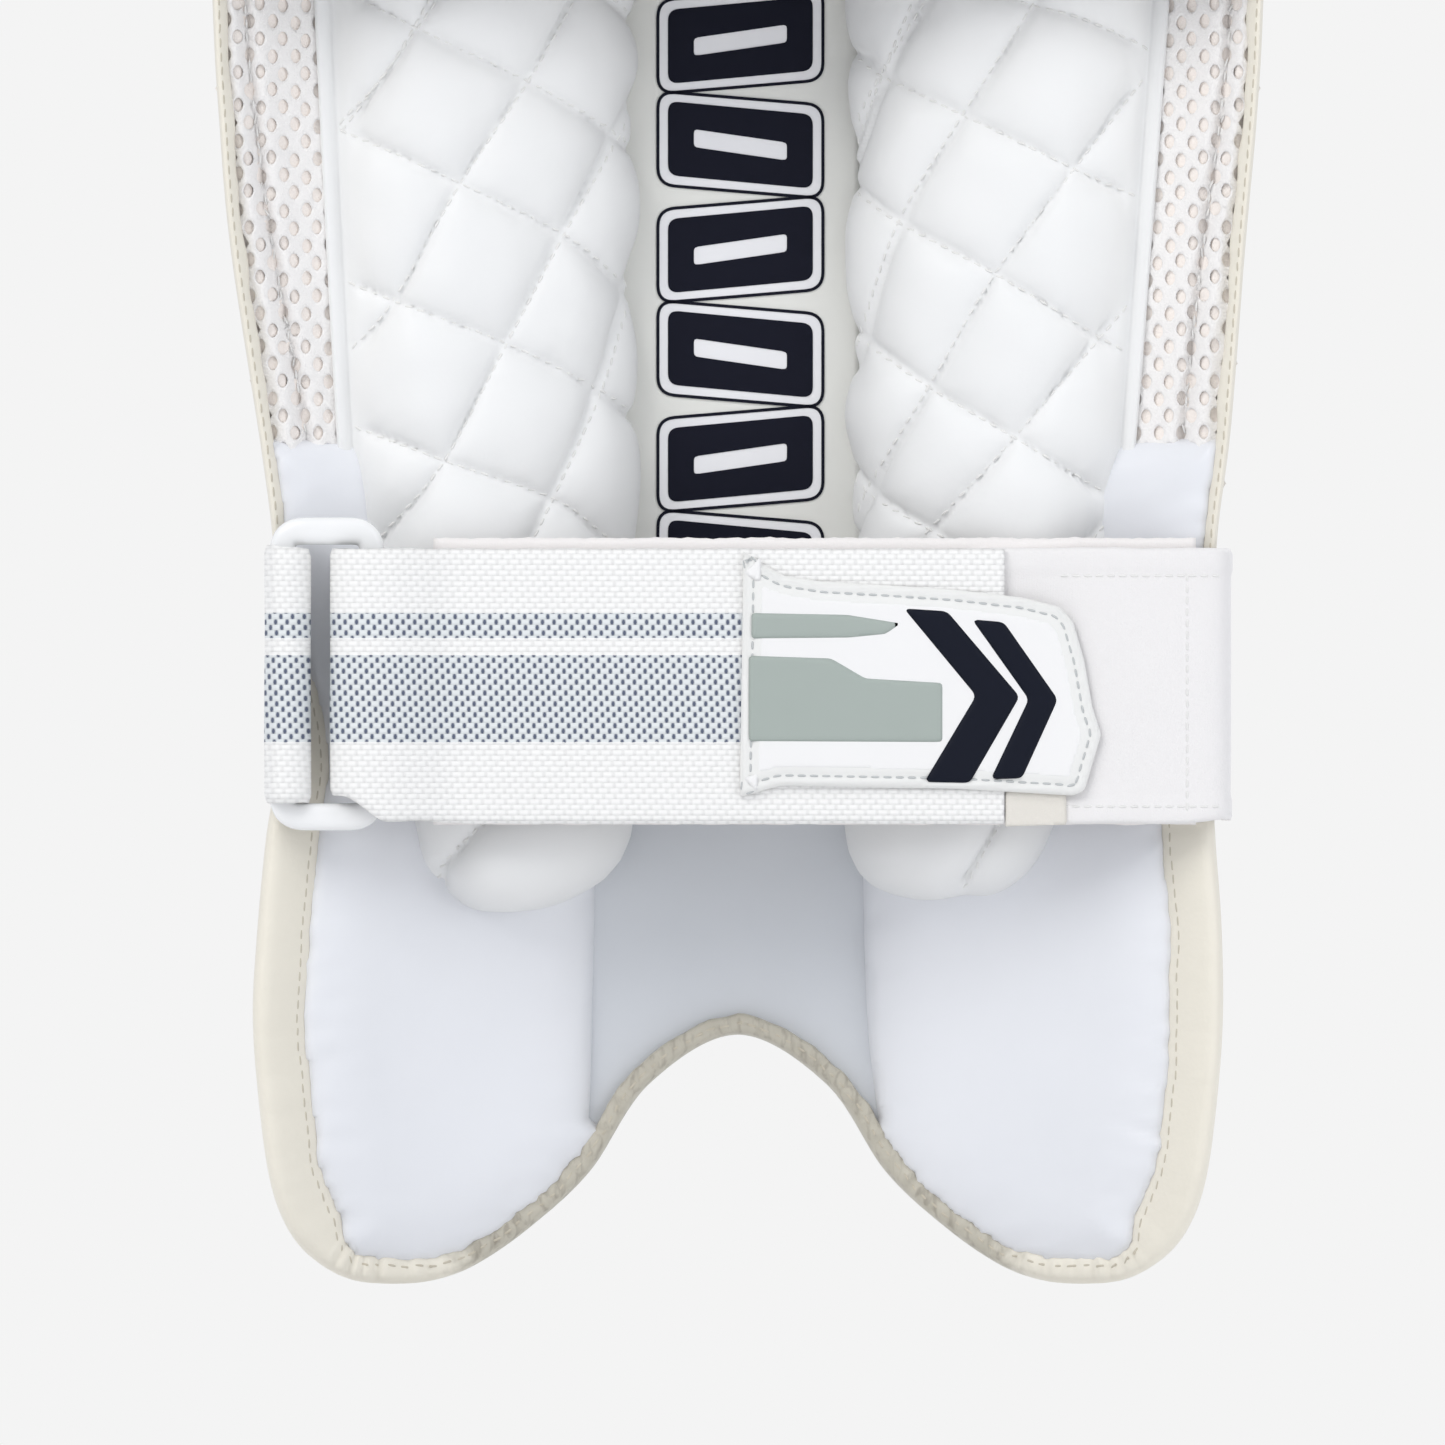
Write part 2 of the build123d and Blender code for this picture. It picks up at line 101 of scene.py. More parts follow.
def box_mm(node):
    """A CAD node's lowest and highest corners, in millimetres."""
    low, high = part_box(node)
    return np.array(low) / MM, np.array(high) / MM


ARC_Y = box_mm("shin_foam")[1][1] - FOAM_OUTER


# ---------------------------------------------------------------- small maths


def spline(a, b, c, d, t):
    """A Catmull-Rom span from b to c at the share t."""
    return 0.5 * (2 * b + (c - a) * t + (2 * a - 5 * b + 4 * c - d) * t**2 + (3 * b - a - 3 * c + d) * t**3)


def smooth(points, step, closed=False):
    """A Catmull-Rom curve through the points, resampled to about one step."""
    p = np.array(points, float)
    n = len(p)
    if closed:
        q = np.vstack([p[-1:], p, p[:2]])
        spans = n
    else:
        q = np.vstack([2 * p[:1] - p[1:2], p, 2 * p[-1:] - p[-2:-1]])
        spans = n - 1
    out = []
    t = np.linspace(0, 1, 25)[:-1, None]
    for i in range(spans):
        out.append(spline(*q[i : i + 4], t))
    out.append(p[:1] if closed else p[-1:])
    return resample(np.vstack(out), step, closed)


def resample(path, step, closed=False):
    """The path again with points one step apart; a closed path doesn't repeat its first point."""
    seg = np.linalg.norm(np.diff(path, axis=0), axis=1)
    s = np.concatenate([[0], np.cumsum(seg)])
    count = max(3, int(round(s[-1] / step)))
    at = np.linspace(0, s[-1], count + 1)
    if closed:
        at = at[:-1]
    return np.stack([np.interp(at, s, path[:, k]) for k in range(path.shape[1])], axis=1)


def looped(path):
    """A closed path with its first point repeated at its end."""
    return np.vstack([path, path[:1]])


def rectangle(x0, z0, x1, z1):
    """The corners of a front-view rectangle."""
    return [(x0, z0), (x1, z0), (x1, z1), (x0, z1)]


def lengths(path):
    """Distance along a path at each of its points."""
    return np.concatenate([[0], np.cumsum(np.linalg.norm(np.diff(path, axis=0), axis=1))])


def normals_2d(path, closed=False):
    """Unit normals to the right of a path's direction."""
    if closed:
        t = np.roll(path, -1, axis=0) - np.roll(path, 1, axis=0)
    else:
        t = np.gradient(path, axis=0)
    t /= np.linalg.norm(t, axis=1)[:, None]
    return np.stack([t[:, 1], -t[:, 0]], axis=1)


def outward(outline):
    """Unit normals pointing out of a closed outline."""
    n = normals_2d(outline, True)
    after = np.roll(outline, -1, axis=0)
    area = np.sum(outline[:, 0] * after[:, 1] - after[:, 0] * outline[:, 1])
    return n if area > 0 else -n


def flattened(value, power):
    """A sine or cosine with its peaks flattened, for squarish sections."""
    return np.sign(value) * np.abs(value) ** power


def waves(x, seed, scale, octaves=3):
    """Smooth repeatable noise of one variable, about -1 to 1."""
    r = np.random.default_rng(seed)
    total = np.zeros_like(np.asarray(x, float))
    for k in range(octaves):
        for _ in range(3):
            total += np.sin(x / scale * 2 * np.pi * (2**k) * r.uniform(0.7, 1.4) + r.uniform(0, 6.3)) / (2**k)
    return total / 4


def waves_2d(x, z, seed, scale, octaves=2):
    """Smooth repeatable noise of two variables, about -1 to 1."""
    r = np.random.default_rng(seed)
    total = np.zeros_like(np.asarray(x, float))
    for k in range(octaves):
        for _ in range(5):
            a = r.uniform(0, np.pi)
            f = 2 * np.pi * (2**k) / scale * r.uniform(0.6, 1.4)
            total += np.sin((x * np.cos(a) + z * np.sin(a)) * f + r.uniform(0, 6.3)) / (2**k)
    return total / 5


def ease(value, low, high):
    """0 below low, 1 above high and smooth between."""
    t = np.clip((value - low) / (high - low), 0, 1)
    return t * t * (3 - 2 * t)


def inside_polygon(x, z, poly):
    """Which points lie inside a polygon, by counting crossings."""
    result = np.zeros(x.shape, bool)
    a = poly
    b = np.roll(poly, -1, axis=0)
    for (x0, z0), (x1, z1) in zip(a, b):
        if z0 == z1:
            continue
        crosses = (z0 > z) != (z1 > z)
        result ^= crosses & (x < (x1 - x0) * (z - z0) / (z1 - z0) + x0)
    return result


def nearest_on(x, z, poly, chunk=4000):
    """Distance to the nearest of a polygon's points, and which one it is."""
    points = np.stack([x.ravel(), z.ravel()], axis=1)
    index = np.empty(len(points), int)
    distance = np.empty(len(points))
    for i in range(0, len(points), chunk):
        d = ((points[i : i + chunk, None, :] - poly[None]) ** 2).sum(axis=2)
        index[i : i + chunk] = d.argmin(axis=1)
        distance[i : i + chunk] = np.sqrt(d.min(axis=1))
    return distance.reshape(x.shape), index.reshape(x.shape)


def on_arc(x, r, z):
    """World points for a front-view place and a radius from the shell's axis."""
    x, r, z = np.broadcast_arrays(np.asarray(x, float), np.asarray(r, float), np.asarray(z, float))
    y = ARC_Y + np.sqrt(np.maximum(r**2 - x**2, 1.0))
    return np.stack([x, y, z], axis=-1)


def on_plane(x, y, z):
    """World points given directly."""
    x, y, z = np.broadcast_arrays(np.asarray(x, float), np.asarray(y, float), np.asarray(z, float))
    return np.stack([x, y, z], axis=-1)


# ---------------------------------------------------------------- mesh makers


def make(name, verts, faces, material, body="pad", flat=False):
    """A mesh object from millimetre points, riding on a body."""
    mesh = bpy.data.meshes.new(name)
    mesh.from_pydata((np.asarray(verts, float).reshape(-1, 3) * MM).tolist(), [], faces)
    mesh.materials.append(material)
    if not flat:
        mesh.polygons.foreach_set("use_smooth", np.ones(len(mesh.polygons), bool))
    mesh.update()
    obj = bpy.data.objects.new(name, mesh)
    bpy.context.scene.collection.objects.link(obj)
    if body:
        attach(obj, body)
    return obj


def face_outwards(obj):
    """Turns every face of a closed mesh to point outwards."""
    work = bmesh.new()
    work.from_mesh(obj.data)
    bmesh.ops.recalc_face_normals(work, faces=work.faces)
    work.to_mesh(obj.data)
    work.free()


def quads(rows, columns, wrap_rows=False, wrap_columns=False, start=0):
    """Faces of a grid of points laid out row by row."""
    r = rows if wrap_rows else rows - 1
    c = columns if wrap_columns else columns - 1
    i, j = np.meshgrid(np.arange(r), np.arange(c), indexing="ij")
    i2 = (i + 1) % rows
    j2 = (j + 1) % columns
    f = np.stack([i * columns + j, i * columns + j2, i2 * columns + j2, i2 * columns + j], axis=-1)
    return (f.reshape(-1, 4) + start).tolist()


def swept(name, grid, material, body="pad", closed_path=False, capped=True):
    """A tube from a (path, section, 3) array of points whose section closes on itself."""
    rows, columns = grid.shape[:2]
    faces = quads(rows, columns, wrap_rows=closed_path, wrap_columns=True)
    if capped and not closed_path:
        faces.append(list(range(columns)))
        faces.append([(rows - 1) * columns + k for k in range(columns)][::-1])
    obj = make(name, grid, faces, material, None)
    face_outwards(obj)
    if body:
        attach(obj, body)
    return obj


# A grid cell's four sides: the step to the neighbour, and the side's two corners
CELL_SIDES = (
    (-1, 0, (0, 1), (0, 0)),
    (1, 0, (1, 0), (1, 1)),
    (0, -1, (0, 0), (1, 0)),
    (0, 1, (1, 1), (0, 1)),
)


def slab(name, poly, front, back, step, material, place=on_arc, body="pad", holes=()):
    """A closed padded sheet over a front-view polygon.

    front and back give the depth of each face from (x, z, distance to the edge).
    """
    low = poly.min(axis=0) - step
    high = poly.max(axis=0) + step
    columns = int((high[0] - low[0]) / step) + 2
    rows = int((high[1] - low[1]) / step) + 2
    x = low[0] + step * np.arange(columns)
    z = low[1] + step * np.arange(rows)
    centre_x, centre_z = np.meshgrid(x[:-1] + step / 2, z[:-1] + step / 2, indexing="ij")
    kept = inside_polygon(centre_x, centre_z, poly)
    for hole in holes:
        kept &= ~inside_polygon(centre_x, centre_z, hole)
    counts = np.zeros((columns, rows), int)
    for di in (0, 1):
        for dj in (0, 1):
            counts[di : di + columns - 1, dj : dj + rows - 1] += kept
    grid_x, grid_z = np.meshgrid(x, z, indexing="ij")
    edge = (counts > 0) & (counts < 4)
    rim = np.vstack([resample(looped(p), step / 3, True) for p in (poly, *holes)])
    _, nearest = nearest_on(grid_x[edge], grid_z[edge], rim)
    grid_x[edge] = rim[nearest, 0]
    grid_z[edge] = rim[nearest, 1]
    used = counts > 0
    ids = -np.ones(counts.shape, int)
    ids[used] = np.arange(used.sum())
    px, pz = grid_x[used], grid_z[used]
    distance, _ = nearest_on(px, pz, rim[::3])
    distance[edge[used]] = 0
    top = place(px, front(px, pz, distance), pz)
    bottom = place(px, back(px, pz, distance), pz)
    count = len(px)
    i, j = np.nonzero(kept)
    ring = np.stack([ids[i, j], ids[i + 1, j], ids[i + 1, j + 1], ids[i, j + 1]], axis=1)
    faces = ring.tolist() + (ring[:, ::-1] + count).tolist()
    padded = np.pad(kept, 1)
    for di, dj, a, b in CELL_SIDES:
        lone = kept & ~padded[1 + di : 1 + di + kept.shape[0], 1 + dj : 1 + dj + kept.shape[1]]
        i, j = np.nonzero(lone)
        va = ids[i + a[0], j + a[1]]
        vb = ids[i + b[0], j + b[1]]
        faces += np.stack([va, vb, vb + count, va + count], axis=1).tolist()
    obj = make(name, np.vstack([top, bottom]), faces, material, None)
    face_outwards(obj)
    if body:
        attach(obj, body)
    return obj


def level(depth):
    """A flat face for a slab."""
    return lambda x, z, distance: np.full_like(x, depth)


def capsule():
    """A low stitch shape, one unit long along x and one unit in radius."""
    verts, faces = [], []
    rings = ((-0.5, 0.05), (-0.42, 0.7), (-0.2, 1.0), (0.2, 1.0), (0.42, 0.7), (0.5, 0.05))
    sides = 6
    for x, r in rings:
        for k in range(sides):
            a = 2 * np.pi * k / sides
            verts.append((x, r * np.cos(a), r * np.sin(a)))
    faces = quads(len(rings), sides, wrap_columns=True)
    return np.array(verts), faces


def stitches(name, placed, material, body="pad", length=STITCH_LENGTH, radius=STITCH_RADIUS):
    """One mesh of stitches; placed holds (point, direction, surface normal) for each."""
    unit, unit_faces = capsule()
    verts, faces = [], []
    for point, direction, normal in placed:
        d = direction / np.linalg.norm(direction)
        n = normal - d * np.dot(normal, d)
        n /= np.linalg.norm(n)
        side = np.cross(d, n)
        v = point + unit[:, :1] * length * d + unit[:, 1:2] * radius * side + unit[:, 2:] * radius * 0.8 * n
        start = len(verts) * len(unit)
        verts.append(v)
        faces += [[k + start for k in f] for f in unit_faces]
    if not verts:
        return None
    return make(name, np.vstack(verts), faces, material, body)


def tree_of(obj):
    """A search tree over a mesh in millimetres."""
    points = np.empty(len(obj.data.vertices) * 3)
    obj.data.vertices.foreach_get("co", points)
    points = points.reshape(-1, 3) / MM
    return BVHTree.FromPolygons(points.tolist(), [list(p.vertices) for p in obj.data.polygons])


# Where a line of sight starts, and its heading
LEG_SIDE = (-400.0, (0, 1, 0))
FRONT_SIDE = (400.0, (0, -1, 0))


def stitch_row(tree, path, pitch=STITCH_PITCH, sink=0.05, start_y=LEG_SIDE[0], heading=LEG_SIDE[1]):
    """Stitches along a front-view path, laid on the first surface seen from one side."""
    line = resample(np.asarray(path, float), pitch)
    placed = []
    along = np.gradient(line, axis=0)
    for (x, z), (dx, dz) in zip(line, along):
        hit, normal, _, _ = tree.ray_cast(Vector((x, start_y, z)), Vector(heading))
        if hit is None:
            continue
        n = np.array(normal)
        if np.dot(n, heading) > 0:
            n = -n
        if abs(np.dot(n, heading)) < 0.25:
            continue
        d = np.array([dx, 0, dz])
        d -= n * np.dot(n, d)
        placed.append((np.array(hit) - n * sink, d, n))
    return placed


# ---------------------------------------------------------------- materials


class Nodes:
    """Short calls for a material's node tree, fed by object coordinates in millimetres."""

    def __init__(self, name, color, roughness, specular=0.35):
        self.material = bpy.data.materials.new(name)
        self.material.use_nodes = True
        self.tree = self.material.node_tree
        self.shader = self.tree.nodes["Principled BSDF"]
        self.shader.inputs["Base Color"].default_value = (*color, 1)
        self.shader.inputs["Roughness"].default_value = roughness
        self.shader.inputs["Specular IOR Level"].default_value = specular
        self.coords = self.add("ShaderNodeTexCoord").outputs["Object"]

    def add(self, kind, **settings):
        node = self.tree.nodes.new(kind)
        for key, value in settings.items():
            setattr(node, key, value)
        return node

    def link(self, output, socket):
        self.tree.links.new(output, socket)

    def scaled(self, x, y, z):
        """Object coordinates times a scale, so that one unit is a chosen number of millimetres."""
        node = self.add("ShaderNodeVectorMath", operation="MULTIPLY")
        self.link(self.coords, node.inputs[0])
        node.inputs[1].default_value = (x / MM, y / MM, z / MM)
        return node.outputs[0]

    def noise(self, scale, detail=3.0, roughness=0.5):
        node = self.add("ShaderNodeTexNoise")
        self.link(self.scaled(scale, scale, scale), node.inputs["Vector"])
        node.inputs["Scale"].default_value = 1.0
        node.inputs["Detail"].default_value = detail
        node.inputs["Roughness"].default_value = roughness
        return node.outputs["Fac"]

    def pleats(self, across, along):
        """A noise drawn out along the height, for folds that run across a gathered edge."""
        node = self.add("ShaderNodeTexNoise")
        node.inputs["Scale"].default_value = 1.0
        node.inputs["Detail"].default_value = 2.0
        self.link(self.scaled(across, across, along), node.inputs["Vector"])
        return node.outputs["Fac"]

    def cells(self, scale, feature="F1"):
        node = self.add("ShaderNodeTexVoronoi", feature=feature)
        self.link(self.scaled(scale, scale, scale), node.inputs["Vector"])
        node.inputs["Scale"].default_value = 1.0
        return node.outputs["Distance"]

    def math(self, operation, a, b=None, c=None):
        node = self.add("ShaderNodeMath", operation=operation)
        for k, value in enumerate((a, b, c)):
            if value is None:
                continue
            if isinstance(value, (int, float)):
                node.inputs[k].default_value = value
            else:
                self.link(value, node.inputs[k])
        return node.outputs[0]

    def clamped(self, value):
        return self.math("MINIMUM", self.math("MAXIMUM", value, 0.0), 1.0)

    def axes(self):
        """The three object coordinates in millimetres."""
        split = self.add("ShaderNodeSeparateXYZ")
        self.link(self.scaled(1, 1, 1), split.inputs[0])
        return split.outputs

    def mix(self, share, a, b):
        node = self.add("ShaderNodeMix", data_type="RGBA")
        for socket, value in ((node.inputs[0], share), (node.inputs[6], a), (node.inputs[7], b)):
            if isinstance(value, (int, float)):
                socket.default_value = value
            elif isinstance(value, tuple):
                socket.default_value = (*value, 1)
            else:
                self.link(value, socket)
        return node.outputs[2]

    def color(self, output):
        self.link(output, self.shader.inputs["Base Color"])

    def rough(self, value, low, high):
        node = self.add("ShaderNodeMapRange")
        self.link(value, node.inputs[0])
        node.inputs[3].default_value = low
        node.inputs[4].default_value = high
        self.link(node.outputs[0], self.shader.inputs["Roughness"])

    def bump(self, height, strength, distance):
        node = self.add("ShaderNodeBump")
        node.inputs["Strength"].default_value = strength
        node.inputs["Distance"].default_value = distance * MM
        self.link(height, node.inputs["Height"])
        existing = self.shader.inputs["Normal"].links
        if existing:
            self.link(existing[0].from_socket, node.inputs["Normal"])
        self.link(node.outputs[0], self.shader.inputs["Normal"])


def coated(name, color, shade, roughness=0.42, grain=0.12, speck=0.9, specular=0.35):
    """Smooth coated polyurethane: faint grain, slight clouding, a little gloss."""
    n = Nodes(name, color, roughness, specular)
    n.color(n.mix(n.math("MULTIPLY", n.noise(0.03, 2.0), 0.9), color, shade))
    n.rough(n.noise(0.12, 3.0), roughness - 0.06, roughness + 0.08)
    n.bump(n.cells(speck), grain, 0.12)
    n.bump(n.noise(0.35, 4.0), grain, 0.3)
    return n.material


def binding_cover_with_painted_shade(name):
    """Cream coated binding with painted shade: tan where it is gathered round the arch, and darker still in
    the creases of its pleats.
    """
    cream, shade_tan = (0.84, 0.80, 0.70), (0.50, 0.47, 0.39)
    n = Nodes(name, cream, 0.45)
    x, _, z = n.axes()
    across = n.math("ABSOLUTE", x)
    up = n.math("ADD", z, n.math("MULTIPLY", n.noise(0.15, 2.0), 8.0))
    sideways = n.math("ADD", across, n.math("MULTIPLY", n.noise(0.3, 2.0), 14.0))
    low_arch = n.math("MULTIPLY", n.math("SUBTRACT", 72.0, sideways), 0.14)
    # near marks the binding round the low arch, where its colour is painted shade.
    near = n.math("MULTIPLY", n.clamped(low_arch), n.math("LESS_THAN", up, 66.0))
    cloud = n.mix(n.math("MULTIPLY", n.noise(0.03, 2.0), 0.8), cream, (0.78, 0.74, 0.64))
    pleats = n.pleats(0.62, 0.13)
    crease = n.clamped(n.math("MULTIPLY", n.math("SUBTRACT", pleats, 0.5), 3.2))
    # Painted shade: tan where the binding gathers round the arch, and near black in the creases of its
    # pleats.
    painted_shade = n.mix(n.noise(0.4, 3.0), shade_tan, (0.56, 0.53, 0.45))
    painted_shade = n.mix(n.math("MULTIPLY", crease, 0.75), painted_shade, (0.24, 0.21, 0.17))
    n.color(n.mix(near, cloud, painted_shade))
    n.bump(n.math("MULTIPLY", pleats, near), -0.9, 1.1)
    n.rough(n.noise(0.12, 3.0), 0.38, 0.52)
    n.bump(n.cells(0.9), 0.25, 0.12)
    n.bump(n.noise(0.35, 4.0), 0.25, 0.3)
    return n.material


def stitched_thread(name, color):
    """Twisted sewing thread."""
    n = Nodes(name, color, 0.6, 0.3)
    n.bump(n.noise(3.0, 2.0), 0.3, 0.1)
    n.color(n.mix(n.noise(0.8, 2.0), color, tuple(c * 0.9 for c in color)))
    return n.material


def knitted(name, color, shade):
    """The face of an air mesh: fine looped yarns."""
    n = Nodes(name, color, 0.85, 0.15)
    yarns = n.noise(1.6, 3.0, 0.6)
    n.color(n.mix(yarns, color, shade))
    n.bump(yarns, 0.55, 0.3)
    n.bump(n.cells(2.2), 0.35, 0.25)
    return n.material


def brushed(name, color, shade):
    """Brushed loop fabric with a short nap."""
    n = Nodes(name, color, 0.95, 0.1)
    n.shader.inputs["Sheen Weight"].default_value = 0.35
    n.shader.inputs["Sheen Roughness"].default_value = 0.5
    nap = n.noise(2.6, 4.0, 0.7)
    n.color(n.mix(nap, color, shade))
    n.bump(nap, 0.5, 0.25)
    wave = n.add("ShaderNodeTexWave", wave_type="BANDS", bands_direction="X")
    n.link(n.scaled(0.9, 0.9, 0.9), wave.inputs["Vector"])
    wave.inputs["Scale"].default_value = 1.0
    wave.inputs["Distortion"].default_value = 2.0
    n.bump(wave.outputs["Fac"], 0.12, 0.15)
    return n.material


TWILL_X = 2.55
TWILL_Z = 1.2


def woven(name, centre_z, stripes):
    """Ribbed webbing: a twill of small floats, with grey stripes at heights from the strap's centre."""
    white = (0.915, 0.91, 0.895)
    n = Nodes(name, white, 0.8, 0.2)
    across, _, up = n.axes()
    row = n.math("FLOOR", n.math("DIVIDE", up, TWILL_Z))
    shift = n.math("MULTIPLY", row, TWILL_X * 0.46)
    u = n.math("FRACT", n.math("DIVIDE", n.math("SUBTRACT", across, shift), TWILL_X))
    v = n.math("FRACT", n.math("DIVIDE", up, TWILL_Z))
    du = n.math("MULTIPLY", n.math("ABSOLUTE", n.math("SUBTRACT", u, 0.5)), 2.0)
    dv = n.math("MULTIPLY", n.math("ABSOLUTE", n.math("SUBTRACT", v, 0.5)), 2.0)
    round_off = n.math("ADD", n.math("POWER", du, 2.0), n.math("POWER", dv, 2.0))
    float_shape = n.math("SUBTRACT", 1.0, round_off)
    gap = n.math("MAXIMUM", n.math("SUBTRACT", du, 0.56), 0.0)
    pit = n.clamped(n.math("MULTIPLY", gap, n.math("SUBTRACT", 4.6, n.math("MULTIPLY", dv, 2.75))))
    fray = n.math("MULTIPLY", n.math("SUBTRACT", n.noise(1.1, 2.0), 0.5), 0.5)
    in_stripe = None
    for low, high in stripes:
        a = n.math("GREATER_THAN", n.math("ADD", up, fray), centre_z + low)
        b = n.math("LESS_THAN", n.math("ADD", up, fray), centre_z + high)
        band = n.math("MULTIPLY", a, b)
        in_stripe = band if in_stripe is None else n.math("MAXIMUM", in_stripe, band)
    # On the white, the pits between floats are painted a little darker as painted shade. In the grey stripes
    # they are painted near-black navy, partly the stripes' dark yarn and partly painted shade.
    pale = n.mix(n.math("MULTIPLY", pit, 0.30), white, (0.62, 0.61, 0.60))
    grey = n.mix(pit, (0.76, 0.79, 0.80), (0.11, 0.13, 0.19))
    n.color(n.mix(in_stripe, pale, grey))
    n.bump(float_shape, 0.55, 0.35)
    n.bump(n.noise(2.5, 3.0), 0.25, 0.2)
    return n.material


def moulded(name, color, roughness, specular=0.45, speck=0.05):
    """Moulded plastic or rubber."""
    n = Nodes(name, color, roughness, specular)
    n.rough(n.noise(0.25, 3.0), roughness - 0.05, roughness + 0.07)
    n.color(n.mix(n.math("MULTIPLY", n.noise(0.05, 2.0), 0.6), color, tuple(c * 0.96 for c in color)))
    n.bump(n.noise(1.3, 3.0), speck, 0.1)
    return n.material


WHITE_COVER = coated("white_cover", (0.84, 0.845, 0.85), (0.79, 0.80, 0.81), 0.46)
QUILT_COVER = coated("quilt_cover", (0.85, 0.852, 0.845), (0.82, 0.824, 0.82), 0.5, 0.08)
SMOOTH_COVER = coated("smooth_lining_cover", (0.81, 0.82, 0.85), (0.77, 0.785, 0.82), 0.38, 0.04)
# The arch lining's darker colour is painted shade, for the shade in its recess between the foot pads and
# under the ankle strap.
ARCH_PAINTED_SHADE_COVER = coated("arch_lining_painted_shade_cover", (0.68, 0.70, 0.73), (0.63, 0.655, 0.69), 0.38, 0.04)
# Its tan along the arch and its dark pleat creases are painted shade.
CREAM_COVER = binding_cover_with_painted_shade("cream_binding_cover")
PANEL_COVER = coated("centre_panel_cover", (0.83, 0.83, 0.79), (0.80, 0.80, 0.76), 0.4, 0.05)
NAVY_PRINT = coated("navy_print", (0.005, 0.006, 0.014), (0.007, 0.008, 0.018), 0.55, 0.04, specular=0.12)
WHITE_PRINT = coated("white_print", (0.87, 0.87, 0.89), (0.85, 0.85, 0.87), 0.4, 0.04)
THREAD = stitched_thread("sewing_thread", (0.84, 0.835, 0.815))
BINDING_THREAD = stitched_thread("binding_thread", (0.60, 0.55, 0.45))
GREY_THREAD = stitched_thread("badge_thread", (0.56, 0.58, 0.58))
MESH_FACE = knitted("air_mesh", (0.93, 0.915, 0.90), (0.87, 0.85, 0.835))
MESH_BACK = knitted("air_mesh_backing", (0.97, 0.91, 0.865), (0.93, 0.86, 0.80))
LOOP_FABRIC = brushed("loop_fabric", (0.90, 0.87, 0.855), (0.85, 0.82, 0.805))
HOOK_TAPE = brushed("hook_tape", (0.80, 0.77, 0.71), (0.73, 0.70, 0.64))
END_FABRIC = brushed("end_band_fabric", (0.86, 0.845, 0.84), (0.82, 0.805, 0.80))
RING_PLASTIC = moulded("ring_plastic", (0.88, 0.885, 0.885), 0.22, 0.5, 0.02)
BADGE_WHITE = moulded("badge_rubber", (0.87, 0.865, 0.86), 0.4, 0.4, 0.04)
BADGE_RIM = moulded("badge_rim_rubber", (0.83, 0.83, 0.81), 0.35, 0.4, 0.03)
BADGE_GREEN = moulded("badge_bar_rubber", (0.38, 0.43, 0.40), 0.5, 0.35, 0.04)
BADGE_NAVY = moulded("badge_navy_rubber", (0.005, 0.007, 0.016), 0.5, 0.15, 0.04)


# ---------------------------------------------------------------- outline and binding

ARCH_RIGHT = [(0, 55), (19.8, 44), (33, 24.6), (46.2, 12.3), (58, 4.2), (67, 0.8)]
FOOT_SIDE = [(76, 0), (86, 1.2), (94.2, 6), (99.8, 13), (103.6, 24), (106, 42), (107.2, 60)]
WAIST_SIDE = {
    1: [(106.9, 80), (105.6, 99), (104.8, 118), (104.9, 140), (106.0, 166), (108.9, 190), (111.9, 229)],
    -1: [(106.3, 78), (104.4, 99), (102.0, 116), (101.6, 140), (102.6, 162), (105.2, 184), (111.9, 229)],
}
UPPER_SIDE = [
    (114.4, 258), (115.8, 284), (117.8, 350), (118.7, 400), (119, 440), (119, 500), (119, 543),
    (117.6, 551), (113.5, 557), (106, 560),
]


def outline_path(step=1.0):
    """The pad's closed front outline, from the arch's top down the right side and round."""
    halves = {}
    for hand in (1, -1):
        side = FOOT_SIDE + WAIST_SIDE[hand] + UPPER_SIDE
        half = smooth([(-19.8, 44)] + ARCH_RIGHT + side, step)
        half = half[int(np.argmin(np.abs(half[:200, 0]))) :]
        halves[hand] = np.vstack([half, [(0, SHELL_TOP)]])
    left = halves[-1][::-1] * [-1, 1]
    return resample(np.vstack([halves[1], left[1:-1], halves[1][:1]]), step, True)


OUTLINE = outline_path()
INWARD = -normals_2d(OUTLINE, True)
if not inside_polygon(*(OUTLINE[40:41] + 3 * INWARD[40:41]).T, OUTLINE)[0]:
    INWARD = -INWARD


def binding_width(x, z):
    """How far the binding laps onto the leg side at each outline point."""
    side = SIDE_BINDING + (MESH_BINDING - SIDE_BINDING) * ease(z, 112, 160)
    side = side + (TOP_BINDING - MESH_BINDING) * ease(z, 436, 462)
    foot = ease(np.abs(x), 82, 98)
    low = ARCH_BINDING + 1.6 * ease(np.abs(x), 50, 76)
    width = np.where(z < 58, low + (SIDE_BINDING - low) * foot * ease(z, -1, 9), side)
    return np.where(np.abs(x) < 60, np.where(z < 100, ARCH_BINDING, width), width)


def inset(amount):
    """The outline drawn in by an amount, as a polygon."""
    return OUTLINE + INWARD * np.asarray(amount).reshape(-1, 1)


def section_rows(controls, per_span=3):
    """Closed Catmull-Rom sections through (path, control, 2) points."""
    out = []
    n = controls.shape[1]
    for i in range(n):
        span = [controls[:, (i + k) % n] for k in (-1, 0, 1, 2)]
        out += [spline(*span, t) for t in np.arange(per_span) / per_span]
    return np.stack(out, axis=1)


# The binding's section: its lap on the leg side as (share of the lap, radius), then the edge and front
BINDING_LAP = [
    (1.0, 159.9), (1.0, 158.7), (0.93, 157.7), (0.72, 157.2), (0.45, 157.1), (0.22, 157.6), (0.07, 159.4),
]
BINDING_EDGE = [
    (0.0, 162.5), (0.0, 168.0), (0.0, 173.5), (0.8, 176.4), (3.0, 177.6), (8.0, 177.9), (10.5, 177.6),
    (11.0, 174.0), (11.0, 168.0),
]


